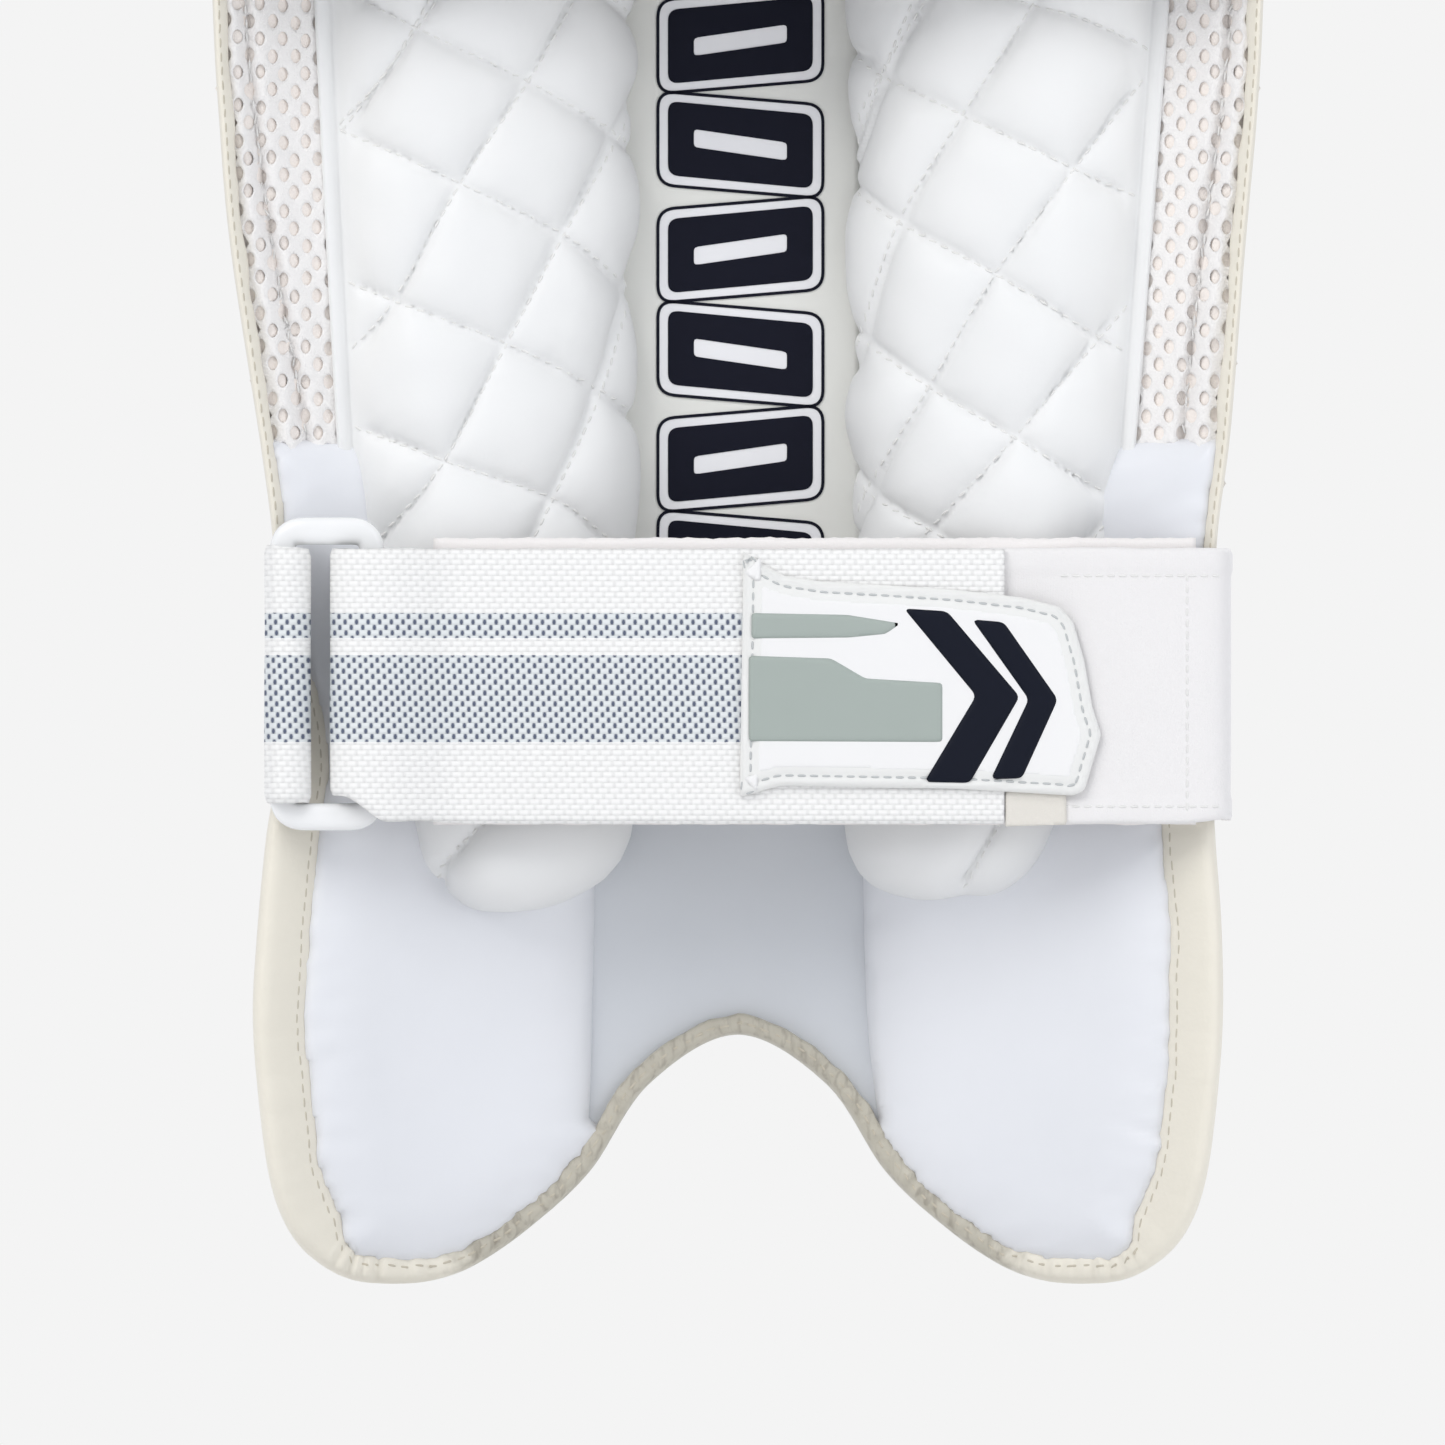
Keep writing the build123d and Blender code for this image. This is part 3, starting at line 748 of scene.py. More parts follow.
def build_binding():
    """The folded edge binding, one closed sweep with its gathers; gives its width round the outline."""
    s = np.arange(len(OUTLINE), dtype=float)
    x, z = OUTLINE.T
    w = binding_width(x, z)
    arch = 1 - ease(z, 60, 75)
    arch = arch * (np.abs(x) < 92)
    w = w + 0.55 * waves(s, 3, 34) * (z < 452) + 0.35 * waves(s, 5, 9) * arch
    lap = [(share * w, radius) for share, radius in BINDING_LAP]
    section = [*lap, *BINDING_EDGE, (np.minimum(w, BINDING_EDGE[-1][0]), 163.5)]
    controls = np.zeros((len(s), len(section), 2))
    for k, point in enumerate(section):
        controls[:, k, 0], controls[:, k, 1] = point
    gather = arch * (0.8 * waves(s, 11, 6.5) + 0.75 * waves(s, 12, 3.1)) + (1 - arch) * (
        0.22 * waves(s, 13, 27) + 0.28 * np.maximum(waves(s, 14, 11) - 0.35, 0)
    )
    middle = len(BINDING_LAP)
    for k in range(1, middle + 3):
        fade = 1.0 if k < middle - 1 else 0.6
        controls[:, k, 1] += gather * fade * (1 if k > 1 else 0.5)
    rows = section_rows(controls)
    place = OUTLINE[:, None, :] + INWARD[:, None, :] * rows[:, :, :1]
    grid = on_arc(place[..., 0], rows[..., 1], place[..., 1])
    obj = swept("edge_binding", grid, CREAM_COVER, closed_path=True)
    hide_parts("binding_left", "binding_right", "binding_arch", "binding_top")
    tree = tree_of(obj)
    back = np.clip(w - 2.1, 1.6, None)
    line = OUTLINE + INWARD * back[:, None]
    placed = stitch_row(tree, looped(line), 3.1, 0.12)
    stitches("binding_stitches", placed, BINDING_THREAD, length=2.3, radius=0.33)
    line = OUTLINE + INWARD * 9.4
    placed = stitch_row(tree, looped(line), 3.1, 0.12, *FRONT_SIDE)
    stitches("binding_front_stitches", placed, BINDING_THREAD, length=2.3, radius=0.33)
    return w


BINDING_W = build_binding()


# ---------------------------------------------------------------- bolsters

# Quilting seams seen from the leg side; family A falls to the right and family B climbs to the right
QUILT_SEAMS = {
    ("left", "A"): (
        ((-96.4, 291.5), (-70.8, 278.3), (-46.4, 266.9), (-27.5, 256.3), (-21.6, 251.9)),
        ((-92.0, 257.8), (-87.6, 255.9), (-61.3, 244.1), (-38.5, 233.1), (-26.4, 223.7), (-21.6, 219.6)),
        ((-92.0, 224.4), (-86.5, 222.5), (-76.3, 218.2), (-51.1, 208.8), (-30.3, 198.6), (-21.6, 192.5)),
        ((-89.8, 192.1), (-83.7, 189.9), (-64.9, 182.8), (-40.9, 174.6), (-29.9, 166.8), (-21.6, 160.2)),
    ),
    ("left", "B"): (
        ((-91.5, 250.8), (-87.6, 255.9), (-70.8, 278.3), (-62.9, 290.4)),
        ((-89.8, 203.3), (-86.1, 207.2), (-76.3, 218.2), (-61.3, 244.1), (-46.4, 266.9), (-37.0, 283.8),
         (-30.4, 295.9)),
        ((-85.4, 158.6), (-77.4, 167.9), (-64.9, 182.8), (-51.1, 208.8), (-38.5, 233.1), (-26.8, 254.7),
         (-21.6, 265.1)),
        ((-66.4, 88.6), (-65.6, 93.1), (-57.5, 101.5), (-46.0, 111.0)),
        ((-59.0, 143.0), (-48.0, 160.6), (-40.9, 174.6), (-30.3, 198.6), (-24.4, 218.7), (-21.6, 228.8)),
    ),
    ("right", "A"): (
        ((55.4, 287.1), (65.0, 283.4), (75.2, 280.7), (87.0, 275.9), (94.5, 271.6), (99.4, 268.4)),
        ((22.4, 275.4), (27.3, 272.4), (32.0, 268.5), (49.7, 259.4), (74.4, 247.3), (91.3, 240.2),
         (98.3, 237.2)),
        ((22.4, 246.0), (26.5, 242.9), (35.6, 235.9), (56.8, 224.1), (79.9, 210.3), (87.8, 206.4),
         (97.2, 202.0)),
        ((22.4, 213.8), (26.5, 210.7), (42.2, 199.3), (61.1, 187.9), (83.5, 174.6), (95.0, 167.6)),
        ((22.4, 184.4), (28.9, 176.2), (35.9, 171.4), (48.8, 163.9), (70.8, 149.6)),
    ),
    ("right", "B"): (
        ((23.5, 246.8), (26.1, 252.4), (32.0, 268.5), (38.3, 283.8), (42.2, 293.7)),
        ((24.6, 203.5), (27.3, 211.5), (35.6, 235.9), (49.7, 259.4), (63.8, 281.4), (70.8, 292.6)),
        ((21.3, 159.5), (24.9, 167.5), (29.7, 178.5), (43.0, 200.5), (56.8, 224.1), (74.4, 247.3),
         (92.5, 270.8), (98.3, 278.3)),
        ((31.2, 155.1), (43.0, 168.3), (61.1, 187.9), (80.7, 210.7), (91.3, 223.3), (97.2, 230.3)),
        ((50.5, 88.6), (56.5, 99.7), (63.0, 112.0)),
        ((68.6, 154.0), (77.4, 164.3), (83.1, 170.7), (92.8, 182.2)),
    ),
}
SEAM_RISE = {"A": 31.5, "B": 49.0}
BOLSTER_SECTION = [
    (0.0, 0.0), (0.0, 0.10), (0.035, 0.125), (0.05, 0.11), (0.09, 0.26), (0.17, 0.50), (0.30, 0.78),
    (0.45, 0.94),
    (0.62, 1.0), (0.78, 0.95), (0.89, 0.80), (0.965, 0.57), (1.0, 0.33), (0.985, 0.12), (0.93, 0.0),
]
# (height, inner edge, outer edge) from the free tip upwards, as distances from the middle
BOLSTER_EDGES = {
    "left": [
        (83.6, 52.0, 56.5), (84.1, 44.6, 61.5), (85.6, 39.0, 65.4), (87.6, 34.6, 68.6),
        (90.4, 30.2, 71.6), (94.6, 26.6, 73.8),
        (99.5, 24.6, 75.0), (104, 23.9, 76.0), (125, 23.2, 82.0), (150, 22.9, 86.2), (189, 22.7, 88.8),
        (230, 22.7, 91.0),
        (284, 22.7, 93.6), (360, 22.7, 95.6), (452, 22.7, 96.4),
    ],
    "right": [
        (85.8, 44.0, 49.0), (86.1, 39.5, 55.5), (87.3, 34.6, 60.2), (89.3, 30.6, 64.4),
        (92, 27.8, 68.0), (96.4, 25.6, 71.2),
        (101, 24.9, 73.4), (104, 24.7, 74.6), (125, 24.6, 81.0), (150, 24.6, 85.8), (180, 24.6, 87.5),
        (230, 24.6, 91.4),
        (284, 24.6, 95.3), (360, 24.6, 96.3), (452, 24.6, 96.6),
    ],
}


def seam_lines(side):
    """Each seam of a bolster as a path, with copies up to the bolster's top."""
    families = {}
    for family in "AB":
        drawn = [smooth(line, 1.0) for line in QUILT_SEAMS[side, family]]
        whole = drawn[1] if family == "A" else drawn[2 if side == "right" else 1]
        known = drawn[0]
        middle = known[len(known) // 2]
        at = np.argmin(np.abs(whole[:, 0] - middle[0]))
        first = middle[1] - whole[at, 1]
        copies = [whole + [0, first + SEAM_RISE[family] * k] for k in range(1, 9)]
        if family == "B":
            copies.append(whole + [0, first])
        families[family] = drawn + [c for c in copies if c[:, 1].min() < BOLSTER_TOP]
    return families


def build_bolster(side, hand):
    """A quilted bolster: crowned in plan, free and rounded at its lower tip."""
    edges = np.array(BOLSTER_EDGES[side])
    low = edges[0, 0]
    tip = low + (np.linspace(0, 1, 26) ** 2) * 19
    z = np.concatenate([tip, np.arange(tip[-1] + 0.9, BOLSTER_TOP, 0.9)])
    root = np.sqrt(np.maximum(edges[:, 0] - low, 0))
    inner = np.interp(np.sqrt(z - low), root, edges[:, 1])
    outer = np.interp(np.sqrt(z - low), root, edges[:, 2])
    full = BOLSTER_DEPTH * (0.34 + 0.66 * np.sqrt(1 - (1 - np.clip((z - low) / 13, 0, 1)) ** 2))
    end = 1 - 0.35 * ease(z, BOLSTER_TOP - 9, BOLSTER_TOP)
    full = full * end
    nominal = np.array(BOLSTER_SECTION) * [70, BOLSTER_DEPTH]
    curve = smooth(nominal, 0.9) / [70, BOLSTER_DEPTH]
    curve[:, 1] = np.maximum(curve[:, 1], 0)
    back = np.stack([np.linspace(0.93, 0.0, 9)[1:-1], np.zeros(7)], axis=1)
    section = np.vstack([curve, back])
    u, f = section.T
    x = hand * (outer[:, None] + (inner - outer)[:, None] * u)
    depth = full[:, None] * f
    zz = np.repeat(z[:, None], len(u), axis=1)
    seams = seam_lines(side)
    near = {}
    for family, lines in seams.items():
        points = np.vstack(lines)
        points = points[(points[:, 1] > low - 20) & (points[:, 1] < BOLSTER_TOP + 20)]
        near[family], _ = nearest_on(x, zz, points, 2000)
    hem = ease(u, 0.05, 0.13)[None, :] * (f > 0.02)[None, :]
    puff = 1.0
    for family in "AB":
        share = np.clip(near[family] / 12.0, 0, 1)
        puff = puff * (1 - (1 - share) ** 2.4) ** 0.62
    close = np.minimum(near["A"], near["B"])
    crease = np.exp(-close / 3.2)
    pucker = 0.30 * crease * waves_2d(x, zz, 21 if hand < 0 else 22, 7.0)
    sag = 0.45 * waves_2d(x, zz, 31 if hand < 0 else 32, 34.0)
    rise = hem * (QUILT_HEIGHT * (puff - 0.78) + pucker + sag * puff)
    rise -= hem * 0.5 * np.exp(-((close / 0.8) ** 2))
    base = on_arc(x, BOLSTER_BACK - depth, zz)
    dz = np.gradient(base, axis=0)
    du = np.roll(base, -1, axis=1) - np.roll(base, 1, axis=1)
    n = np.cross(du, dz)
    n /= np.maximum(np.linalg.norm(n, axis=2), 1e-6)[..., None]
    mid = n[len(z) // 2, len(curve) // 2]
    if mid[1] > 0:
        n = -n
    grid = base + n * rise[..., None]
    grid[..., 1] = np.minimum(grid[..., 1], on_arc(grid[..., 0], BOLSTER_BACK, zz)[..., 1])
    obj = swept(f"bolster_cover_{side}", grid, QUILT_COVER)
    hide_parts(f"bolster_{side}", f"bolster_fill_{side}")
    tree = tree_of(obj)
    placed = []
    for family, lines in seams.items():
        for line in lines:
            width_in = np.interp(line[:, 1], z, inner)
            width_out = np.interp(line[:, 1], z, outer)
            ok = (hand * line[:, 0] > width_in) & (hand * line[:, 0] < width_out - 4.5)
            ok &= (line[:, 1] > low) & (line[:, 1] < BOLSTER_TOP - 1)
            if ok.sum() > 4:
                placed += stitch_row(tree, line[ok], STITCH_PITCH, 0.0)
    stitches(f"bolster_stitches_{side}", placed, THREAD)
    return obj


for side, hand in (("left", -1), ("right", 1)):
    build_bolster(side, hand)


# ---------------------------------------------------------------- leg-side linings


def one_run(loop, chosen):
    """The chosen points of a closed loop, in order, also where they pass its start."""
    index = np.nonzero(chosen)[0]
    breaks = np.nonzero(np.diff(index) > 1)[0]
    if len(breaks):
        index = np.roll(index, -(breaks[0] + 1))
    return loop[index]


def bulge(distance, depth, reach):
    """A padded rise that is steep at its edge and level in its middle."""
    t = np.clip(distance / reach, 0, 1)
    return depth * np.sqrt(1 - (1 - t) ** 2)


FOOT_PAD_INNER = 30.0
FOOT_PAD_TOP = 188.0
FOOT_INNER_EDGE = {
    "left": [(-31.4, 188), (-31.6, 150), (-32.0, 89), (-32.5, 64), (-33.0, 42), (-34.0, 30), (-36, 14)],
    "right": [(27.8, 188), (27.9, 150), (28.0, 95), (28.8, 62), (30.2, 46), (32.6, 30), (36.0, 18), (38, 10)],
}


def build_foot_lining(side, hand):
    """The smooth padded lining of one foot flap, from the arch up to the mesh."""
    p = inset(np.maximum(BINDING_W - 1.6, 1.8))
    run = one_run(p, (hand * p[:, 0] > FOOT_PAD_INNER) & (p[:, 1] < FOOT_PAD_TOP))
    edge = smooth(FOOT_INNER_EDGE[side], 1.5)
    if np.linalg.norm(run[-1] - edge[0]) > np.linalg.norm(run[0] - edge[0]):
        run = run[::-1]
    low = run[0]
    edge = edge[edge[:, 1] > low[1] + 1]
    poly = np.vstack([run, edge])
    seed = 41 if hand < 0 else 42

    def front(x, z, distance):
        rise = bulge(distance, 6.4, 15.0)
        pucker = 0.55 * np.exp(-distance / 6) * waves_2d(x, z * 2.2, seed, 15.0)
        corner = np.exp(-(((hand * x - 92) / 16) ** 2 + ((z - 28) / 26) ** 2)) if hand > 0 else 0
        folds = -1.5 * corner * np.exp(-distance / 9) * np.maximum(waves(z + 0.25 * x, 77, 13), -0.2)
        cloud = 0.35 * waves_2d(x, z, seed + 5, 60.0) * np.clip(distance / 12, 0, 1)
        return SIDE_FACE - rise - pucker - folds - cloud

    obj = slab(f"foot_pad_{side}", poly, front, level(LINING_BACK - 0.4), 1.4, SMOOTH_COVER)
    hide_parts(f"foot_lining_{side}")
    return obj


def build_arch_lining():
    """The recessed lining over the arch, between the foot pads, coloured darker as painted shade."""
    p = inset(2.0)
    run = one_run(p, (np.abs(p[:, 0]) < 44) & (p[:, 1] < 70))
    if run[0, 0] > run[-1, 0]:
        run = run[::-1]
    poly = np.vstack([run, [(30, 111)], [(-34, 111)]])

    def front(x, z, distance):
        return RECESS_FACE - 0.8 + 0.25 * waves_2d(x, z, 51, 40.0)

    obj = slab("arch_pad", poly, front, level(LINING_BACK - 0.3), 1.6, ARCH_PAINTED_SHADE_COVER)
    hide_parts("arch_lining")


PANEL_LEFT, PANEL_RIGHT = -31.2, 27.6
PANEL_LOW, PANEL_TOP = 112.0, 440.0
PANEL_CROWN = 2.6


def panel_depth(x):
    """Radius of the centre strip's face."""
    return RECESS_FACE - 0.3 - PANEL_CROWN * np.sqrt(np.clip(1 - ((x + 0.5) / 29.5) ** 2, 0, 1))


def build_centre_panel():
    """The slightly crowned strip between the bolsters."""
    left = [(PANEL_LEFT, PANEL_LOW), (PANEL_LEFT, PANEL_TOP)]
    right = [(PANEL_RIGHT, PANEL_TOP), (PANEL_RIGHT, PANEL_LOW)]
    poly = resample(looped(left + right), 2.0, True)

    def front(x, z, distance):
        return panel_depth(x) + 0.12 * waves_2d(x, z, 61, 50.0)

    obj = slab("centre_strip", poly, front, level(LINING_BACK - 0.3), 1.5, PANEL_COVER)
    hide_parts("centre_panel")
    return obj


def offset_loop(outline, amount):
    """A closed outline grown outwards by an amount."""
    return outline + outward(outline) * amount


def rounded(points, radius, step=0.5):
    """A closed polygon with its corners rounded."""
    p = np.array(points, float)
    out = []
    for k in range(len(p)):
        a, b, c = p[k - 1], p[k], p[(k + 1) % len(p)]
        ua, uc = (a - b) / np.linalg.norm(a - b), (c - b) / np.linalg.norm(c - b)
        r = min(radius, 0.45 * np.linalg.norm(a - b), 0.45 * np.linalg.norm(c - b))
        for t in np.linspace(0, 1, 6):
            out.append((1 - t) ** 2 * (b + ua * r) + 2 * t * (1 - t) * b + t**2 * (b + uc * r))
    return resample(np.vstack(out + [out[0]]), step, True)


def matched(outer, inner):
    """The inner loop resampled to run beside the outer one, point for point."""
    if len(inner) == len(outer):
        return inner
    middle = inner.mean(axis=0)
    angle = np.arctan2(*(inner - middle).T[::-1])
    order = np.argsort(angle)
    ring = np.vstack([inner[order], inner[order][:1]])
    turn = np.concatenate([angle[order], [angle[order][0] + 2 * np.pi]])
    want = np.arctan2(*(outer - outer.mean(axis=0)).T[::-1])
    want = np.where(want < turn[0], want + 2 * np.pi, want)
    return np.stack([np.interp(want, turn, ring[:, 0]), np.interp(want, turn, ring[:, 1])], axis=1)


def printed(name, loops, material, rise, thick=0.16):
    """Printed shapes, each given as (outer loop, inner loop or None), raised on the centre strip."""
    verts, faces = [], []
    for outer, inner in loops:
        start = len(verts)
        n = len(outer)
        if inner is None:
            middle = outer.mean(axis=0)
            rings = [outer, middle + (outer - middle) * 0.66, middle + (outer - middle) * 0.33]
            hub = start + 3 * n
            faces += [[hub - n + k, hub - n + (k + 1) % n, hub] for k in range(n)]
        else:
            rings = [outer, matched(outer, inner)]
        faces += quads(len(rings), n, wrap_columns=True, start=start)
        points = np.vstack(rings if inner is not None else [*rings, middle])
        verts += list(on_arc(points[:, 0], panel_depth(points[:, 0]) - rise - thick, points[:, 1]))
    return make(name, np.array(verts), faces, material)


BAR_LEFT, BAR_RIGHT = -15.6, 16.8
BAR_LOW = 160.5
BAR_PITCH = 23.4
BAR_LEAN = 1.5


def build_motif():
    """A repeated plain pattern of slanted bars with outlines, in place of lettering."""
    bars, halos, contours = [], [], []
    for k, z in enumerate(np.arange(BAR_LOW, 434, BAR_PITCH)):
        lean = BAR_LEAN if k % 2 else -BAR_LEAN

        def block(reach, tall, corner, x0=BAR_LEFT, x1=BAR_RIGHT):
            left, right = x0 - reach, x1 + reach
            corners = [(left, -tall - lean), (right, lean - tall), (right, tall + lean), (left, tall - lean)]
            return rounded([(x, z + dz) for x, dz in corners], corner)

        bars.append((block(0, 8.3, 2.4), block(0, 2.0, 0.8, -9.8, 11.0)))
        halo = block(1.9, 10.1, 3.4)
        halos.append((halo, None))
        contours.append((offset_loop(halo, 0.7), halo))
    for name, loops, material, rise in (
        ("panel_bar_halos", halos, WHITE_PRINT, 0.02),
        ("panel_bars", bars, NAVY_PRINT, 0.16),
        ("panel_bar_outlines", contours, NAVY_PRINT, 0.16),
    ):
        printed(name, loops, material, rise)


MESH_COLUMN = 2.45
MESH_PITCH = 7.56
HOLE_WIDE = 2.15
HOLE_TALL = 3.2
# Rings of a mesh cell from its border to inside its hole: share of the way in, and how far back
HOLE_RIM = ((0.0, 0.0), (0.62, -0.175), (1.0, 0.15), (1.02, 0.8))
# Where the folded seam of the mesh runs, inwards from the pad's edge
SEAM_INSET = 6.6
SEAM_DRIFT = 3.4


def build_mesh_lining(side, hand):
    """Air mesh beside the bolster: a knitted face with open holes over a plain backing."""
    inner = 80.0
    low, high = 181.0, 440.0

    def edge_at(z):
        p = OUTLINE[(hand * OUTLINE[:, 0] > 90) & (OUTLINE[:, 1] > 150) & (OUTLINE[:, 1] < 470)]
        order = np.argsort(p[:, 1])
        return np.interp(z, p[order, 1], hand * p[order, 0])

    # Diamond cells fill the face, each with one oval hole as rings of quads
    verts, faces = [], []
    ring = 12
    corners = np.array([(1, 0), (0, 1), (-1, 0), (0, -1), (1, 0)], float)
    share = np.repeat(np.arange(3)[None] / 3, 4, 0).reshape(-1, 1)
    diamond = np.repeat(corners[:4], 3, 0) * (1 - share) + np.repeat(corners[1:], 3, 0) * share
    angle = np.arctan2(diamond[:, 1], diamond[:, 0])
    cell_x = MESH_COLUMN
    cell_z = MESH_PITCH / 2

    def seam_at(z):
        return edge_at(z) - (SEAM_INSET + SEAM_DRIFT * (1 - ease(z, 190, 300)))

    def face_radius(x, z):
        d = hand * x - seam_at(z)
        groove = 2.6 * np.exp(-((d / 1.1) ** 2))
        fold = 1.3 * np.exp(-(((d - 3.0) / 2.0) ** 2)) + 0.9 * np.exp(-(((d + 3.4) / 2.4) ** 2))
        edge = 2.2 * ease(edge_at(z) - hand * x, 1.5, 6.0)
        soft = 0.5 * waves_2d(x, z, 71 if hand > 0 else 72, 42.0)
        return SIDE_FACE + 0.6 - edge - fold + groove - soft

    columns = np.arange(int(inner / cell_x), int(121 / cell_x))
    rows = np.arange(int(low / cell_z), int(high / cell_z) + 1)
    for c in columns:
        for r in rows:
            if (c + r) % 2:
                continue
            cx = hand * c * cell_x
            cz = r * cell_z
            if c * cell_x > edge_at(cz) - 2.0:
                continue
            jitter = 0.18 * np.sin(c * 12.9 + r * 78.2), 0.25 * np.sin(c * 39.3 + r * 11.1)
            px = cx + diamond[:, 0] * cell_x
            pz = cz + diamond[:, 1] * cell_z
            hx = cx + jitter[0] + HOLE_WIDE / 2 * np.cos(angle)
            hz = cz + jitter[1] + HOLE_TALL / 2 * np.sin(angle)
            start = len(verts)
            for share, rim in HOLE_RIM:
                x = px + (hx - px) * share
                z = pz + (hz - pz) * share
                verts.extend(on_arc(x, face_radius(x, z) + rim, z))
            faces += quads(4, ring, wrap_columns=True, start=start)
    obj = make(f"mesh_face_{side}", np.array(verts), faces, MESH_FACE)
    work = bmesh.new()
    work.from_mesh(obj.data)
    bmesh.ops.remove_doubles(work, verts=work.verts, dist=0.02 * MM)
    work.to_mesh(obj.data)
    work.free()
    obj.data.polygons.foreach_set("use_smooth", np.ones(len(obj.data.polygons), bool))

    z = np.arange(low - 2, high + 0.1, 3.0)
    far = edge_at(z) - 1.2
    near = np.full_like(z, inner - 2)
    poly = np.vstack([np.stack([hand * far, z], axis=1), np.stack([hand * near, z], axis=1)[::-1]])

    def front(x, z, distance):
        return face_radius(x, z) + 0.85

    spacer = slab(f"mesh_backing_{side}", poly, front, level(LINING_BACK - 0.3), 1.6, MESH_BACK)
    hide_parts(f"mesh_lining_{side}")
    tree = tree_of(obj)
    zs = np.arange(190, 436, 1.0)
    seam = seam_at(zs) + 0.2
    placed = stitch_row(tree, np.stack([hand * seam, zs], axis=1), 3.0, -0.5)
    stitches(f"mesh_seam_stitches_{side}", placed, THREAD, length=2.2, radius=0.3)


for side, hand in (("left", -1), ("right", 1)):
    build_foot_lining(side, hand)
    build_mesh_lining(side, hand)
build_arch_lining()
build_centre_panel()
build_motif()


# ---------------------------------------------------------------- straps


def band(
    name, path, low, high, thickness, material, body,
    seed=0, ripple=0.15, columns=26, fold=0.0, fold_width=5.0,
):
    """A flat strap that follows a plan path, with soft edges, a slight ripple and folded hems."""
    path = np.asarray(path, float)
    n = normals_2d(path)
    s = lengths(path)
    low = np.broadcast_to(np.asarray(low, float), s.shape)
    high = np.broadcast_to(np.asarray(high, float), s.shape)
    low = low + 0.22 * waves(s, seed + 1, 19)
    high = high + 0.22 * waves(s, seed + 2, 23)
    t = np.linspace(0, 1, columns)
    t = 0.5 - 0.125 * np.cos(np.pi * t) - 0.75 * (0.5 - t)
    t = (t - t[0]) / (t[-1] - t[0])
    z = low[:, None] + (high - low)[:, None] * t
    rim = np.minimum(z - low[:, None], high[:, None] - z)
    half = thickness / 2 * (0.45 + 0.55 * np.clip(rim / 0.7, 0, 1) ** 0.5)
    raised = fold * (1 - ease(rim, fold_width - 0.5, fold_width + 0.1))
    wave = ripple * waves_2d(np.repeat(s[:, None], columns, 1), z, seed + 3, 46.0)
    rows = []
    for sign, extra in ((1, raised), (-1, 0)):
        off = sign * (half + extra) + wave
        pts = path[:, None, :] + n[:, None, :] * off[..., None]
        rows.append(on_plane(pts[..., 0], pts[..., 1], z))
    grid = np.concatenate([rows[0], rows[1][:, ::-1]], axis=1)
    return swept(name, grid, material, body)


def ring_sweep(name, low, high, bar, end, material, body):
    """The moulded ring: a rounded bar swept round a rounded rectangle."""
    x0, x1 = low[0] + bar / 2, high[0] - bar / 2
    z0, z1 = low[2] + end / 2, high[2] - end / 2
    y = (low[1] + high[1]) / 2
    path = rounded([(x0, z0), (x1, z0), (x1, z1), (x0, z1)], 4.6, 0.8)
    n = normals_2d(path, True)
    side = np.abs(n[:, 0])
    half = bar / 2 * side + end / 2 * (1 - side)
    a = np.linspace(0, 2 * np.pi, 20, endpoint=False)
    across = flattened(np.cos(a), 0.75)
    deep = flattened(np.sin(a), 0.75) * (high[1] - low[1]) / 2
    xz = path[:, None, :] + n[:, None, :] * (half[:, None] * across)[..., None]
    grid = on_plane(xz[..., 0], y + deep[None, :], xz[..., 1])
    return swept(name, grid, material, body, closed_path=True)


BADGE_OUTLINE = [
    (1.2, 29.6), (5.2, 26.9), (10.3, 24.2), (19.0, 22.9), (33.6, 22.1), (48.2, 21.1), (62.8, 19.4),
    (70.8, 17.4),
    (73.8, 14.1), (76.3, 5.4), (78.1, -4.8), (80.0, -10.7), (76.3, -23.1), (73.8, -24.2), (48.2, -22.7),
    (9.5, -22.0), (0.4, -24.5),
]
BADGE_UPPER_BAR = [(3.0, 16.0), (24.0, 15.6), (35.8, 13.7), (32.5, 11.4), (24.5, 10.6), (3.0, 10.4)]
BADGE_LOWER_BAR = [(2.4, 6.6), (20.5, 6.0), (28.0, 1.6), (45.0, 0.6), (45.0, -12.4), (2.4, -12.2)]
BADGE_CHEVRONS = [
    [(36.5, 17.0), (46.0, 16.4), (62.0, -2.4), (51.0, -21.4), (41.0, -21.2), (52.4, -2.2)],
    [(51.5, 14.6), (58.5, 14.0), (70.4, -3.0), (62.5, -20.4), (55.6, -20.6), (64.0, -3.0)],
]
STRIPES = [(10.5, 16.0), (-12.4, 6.7)]
BADGE_BASE = 1.5


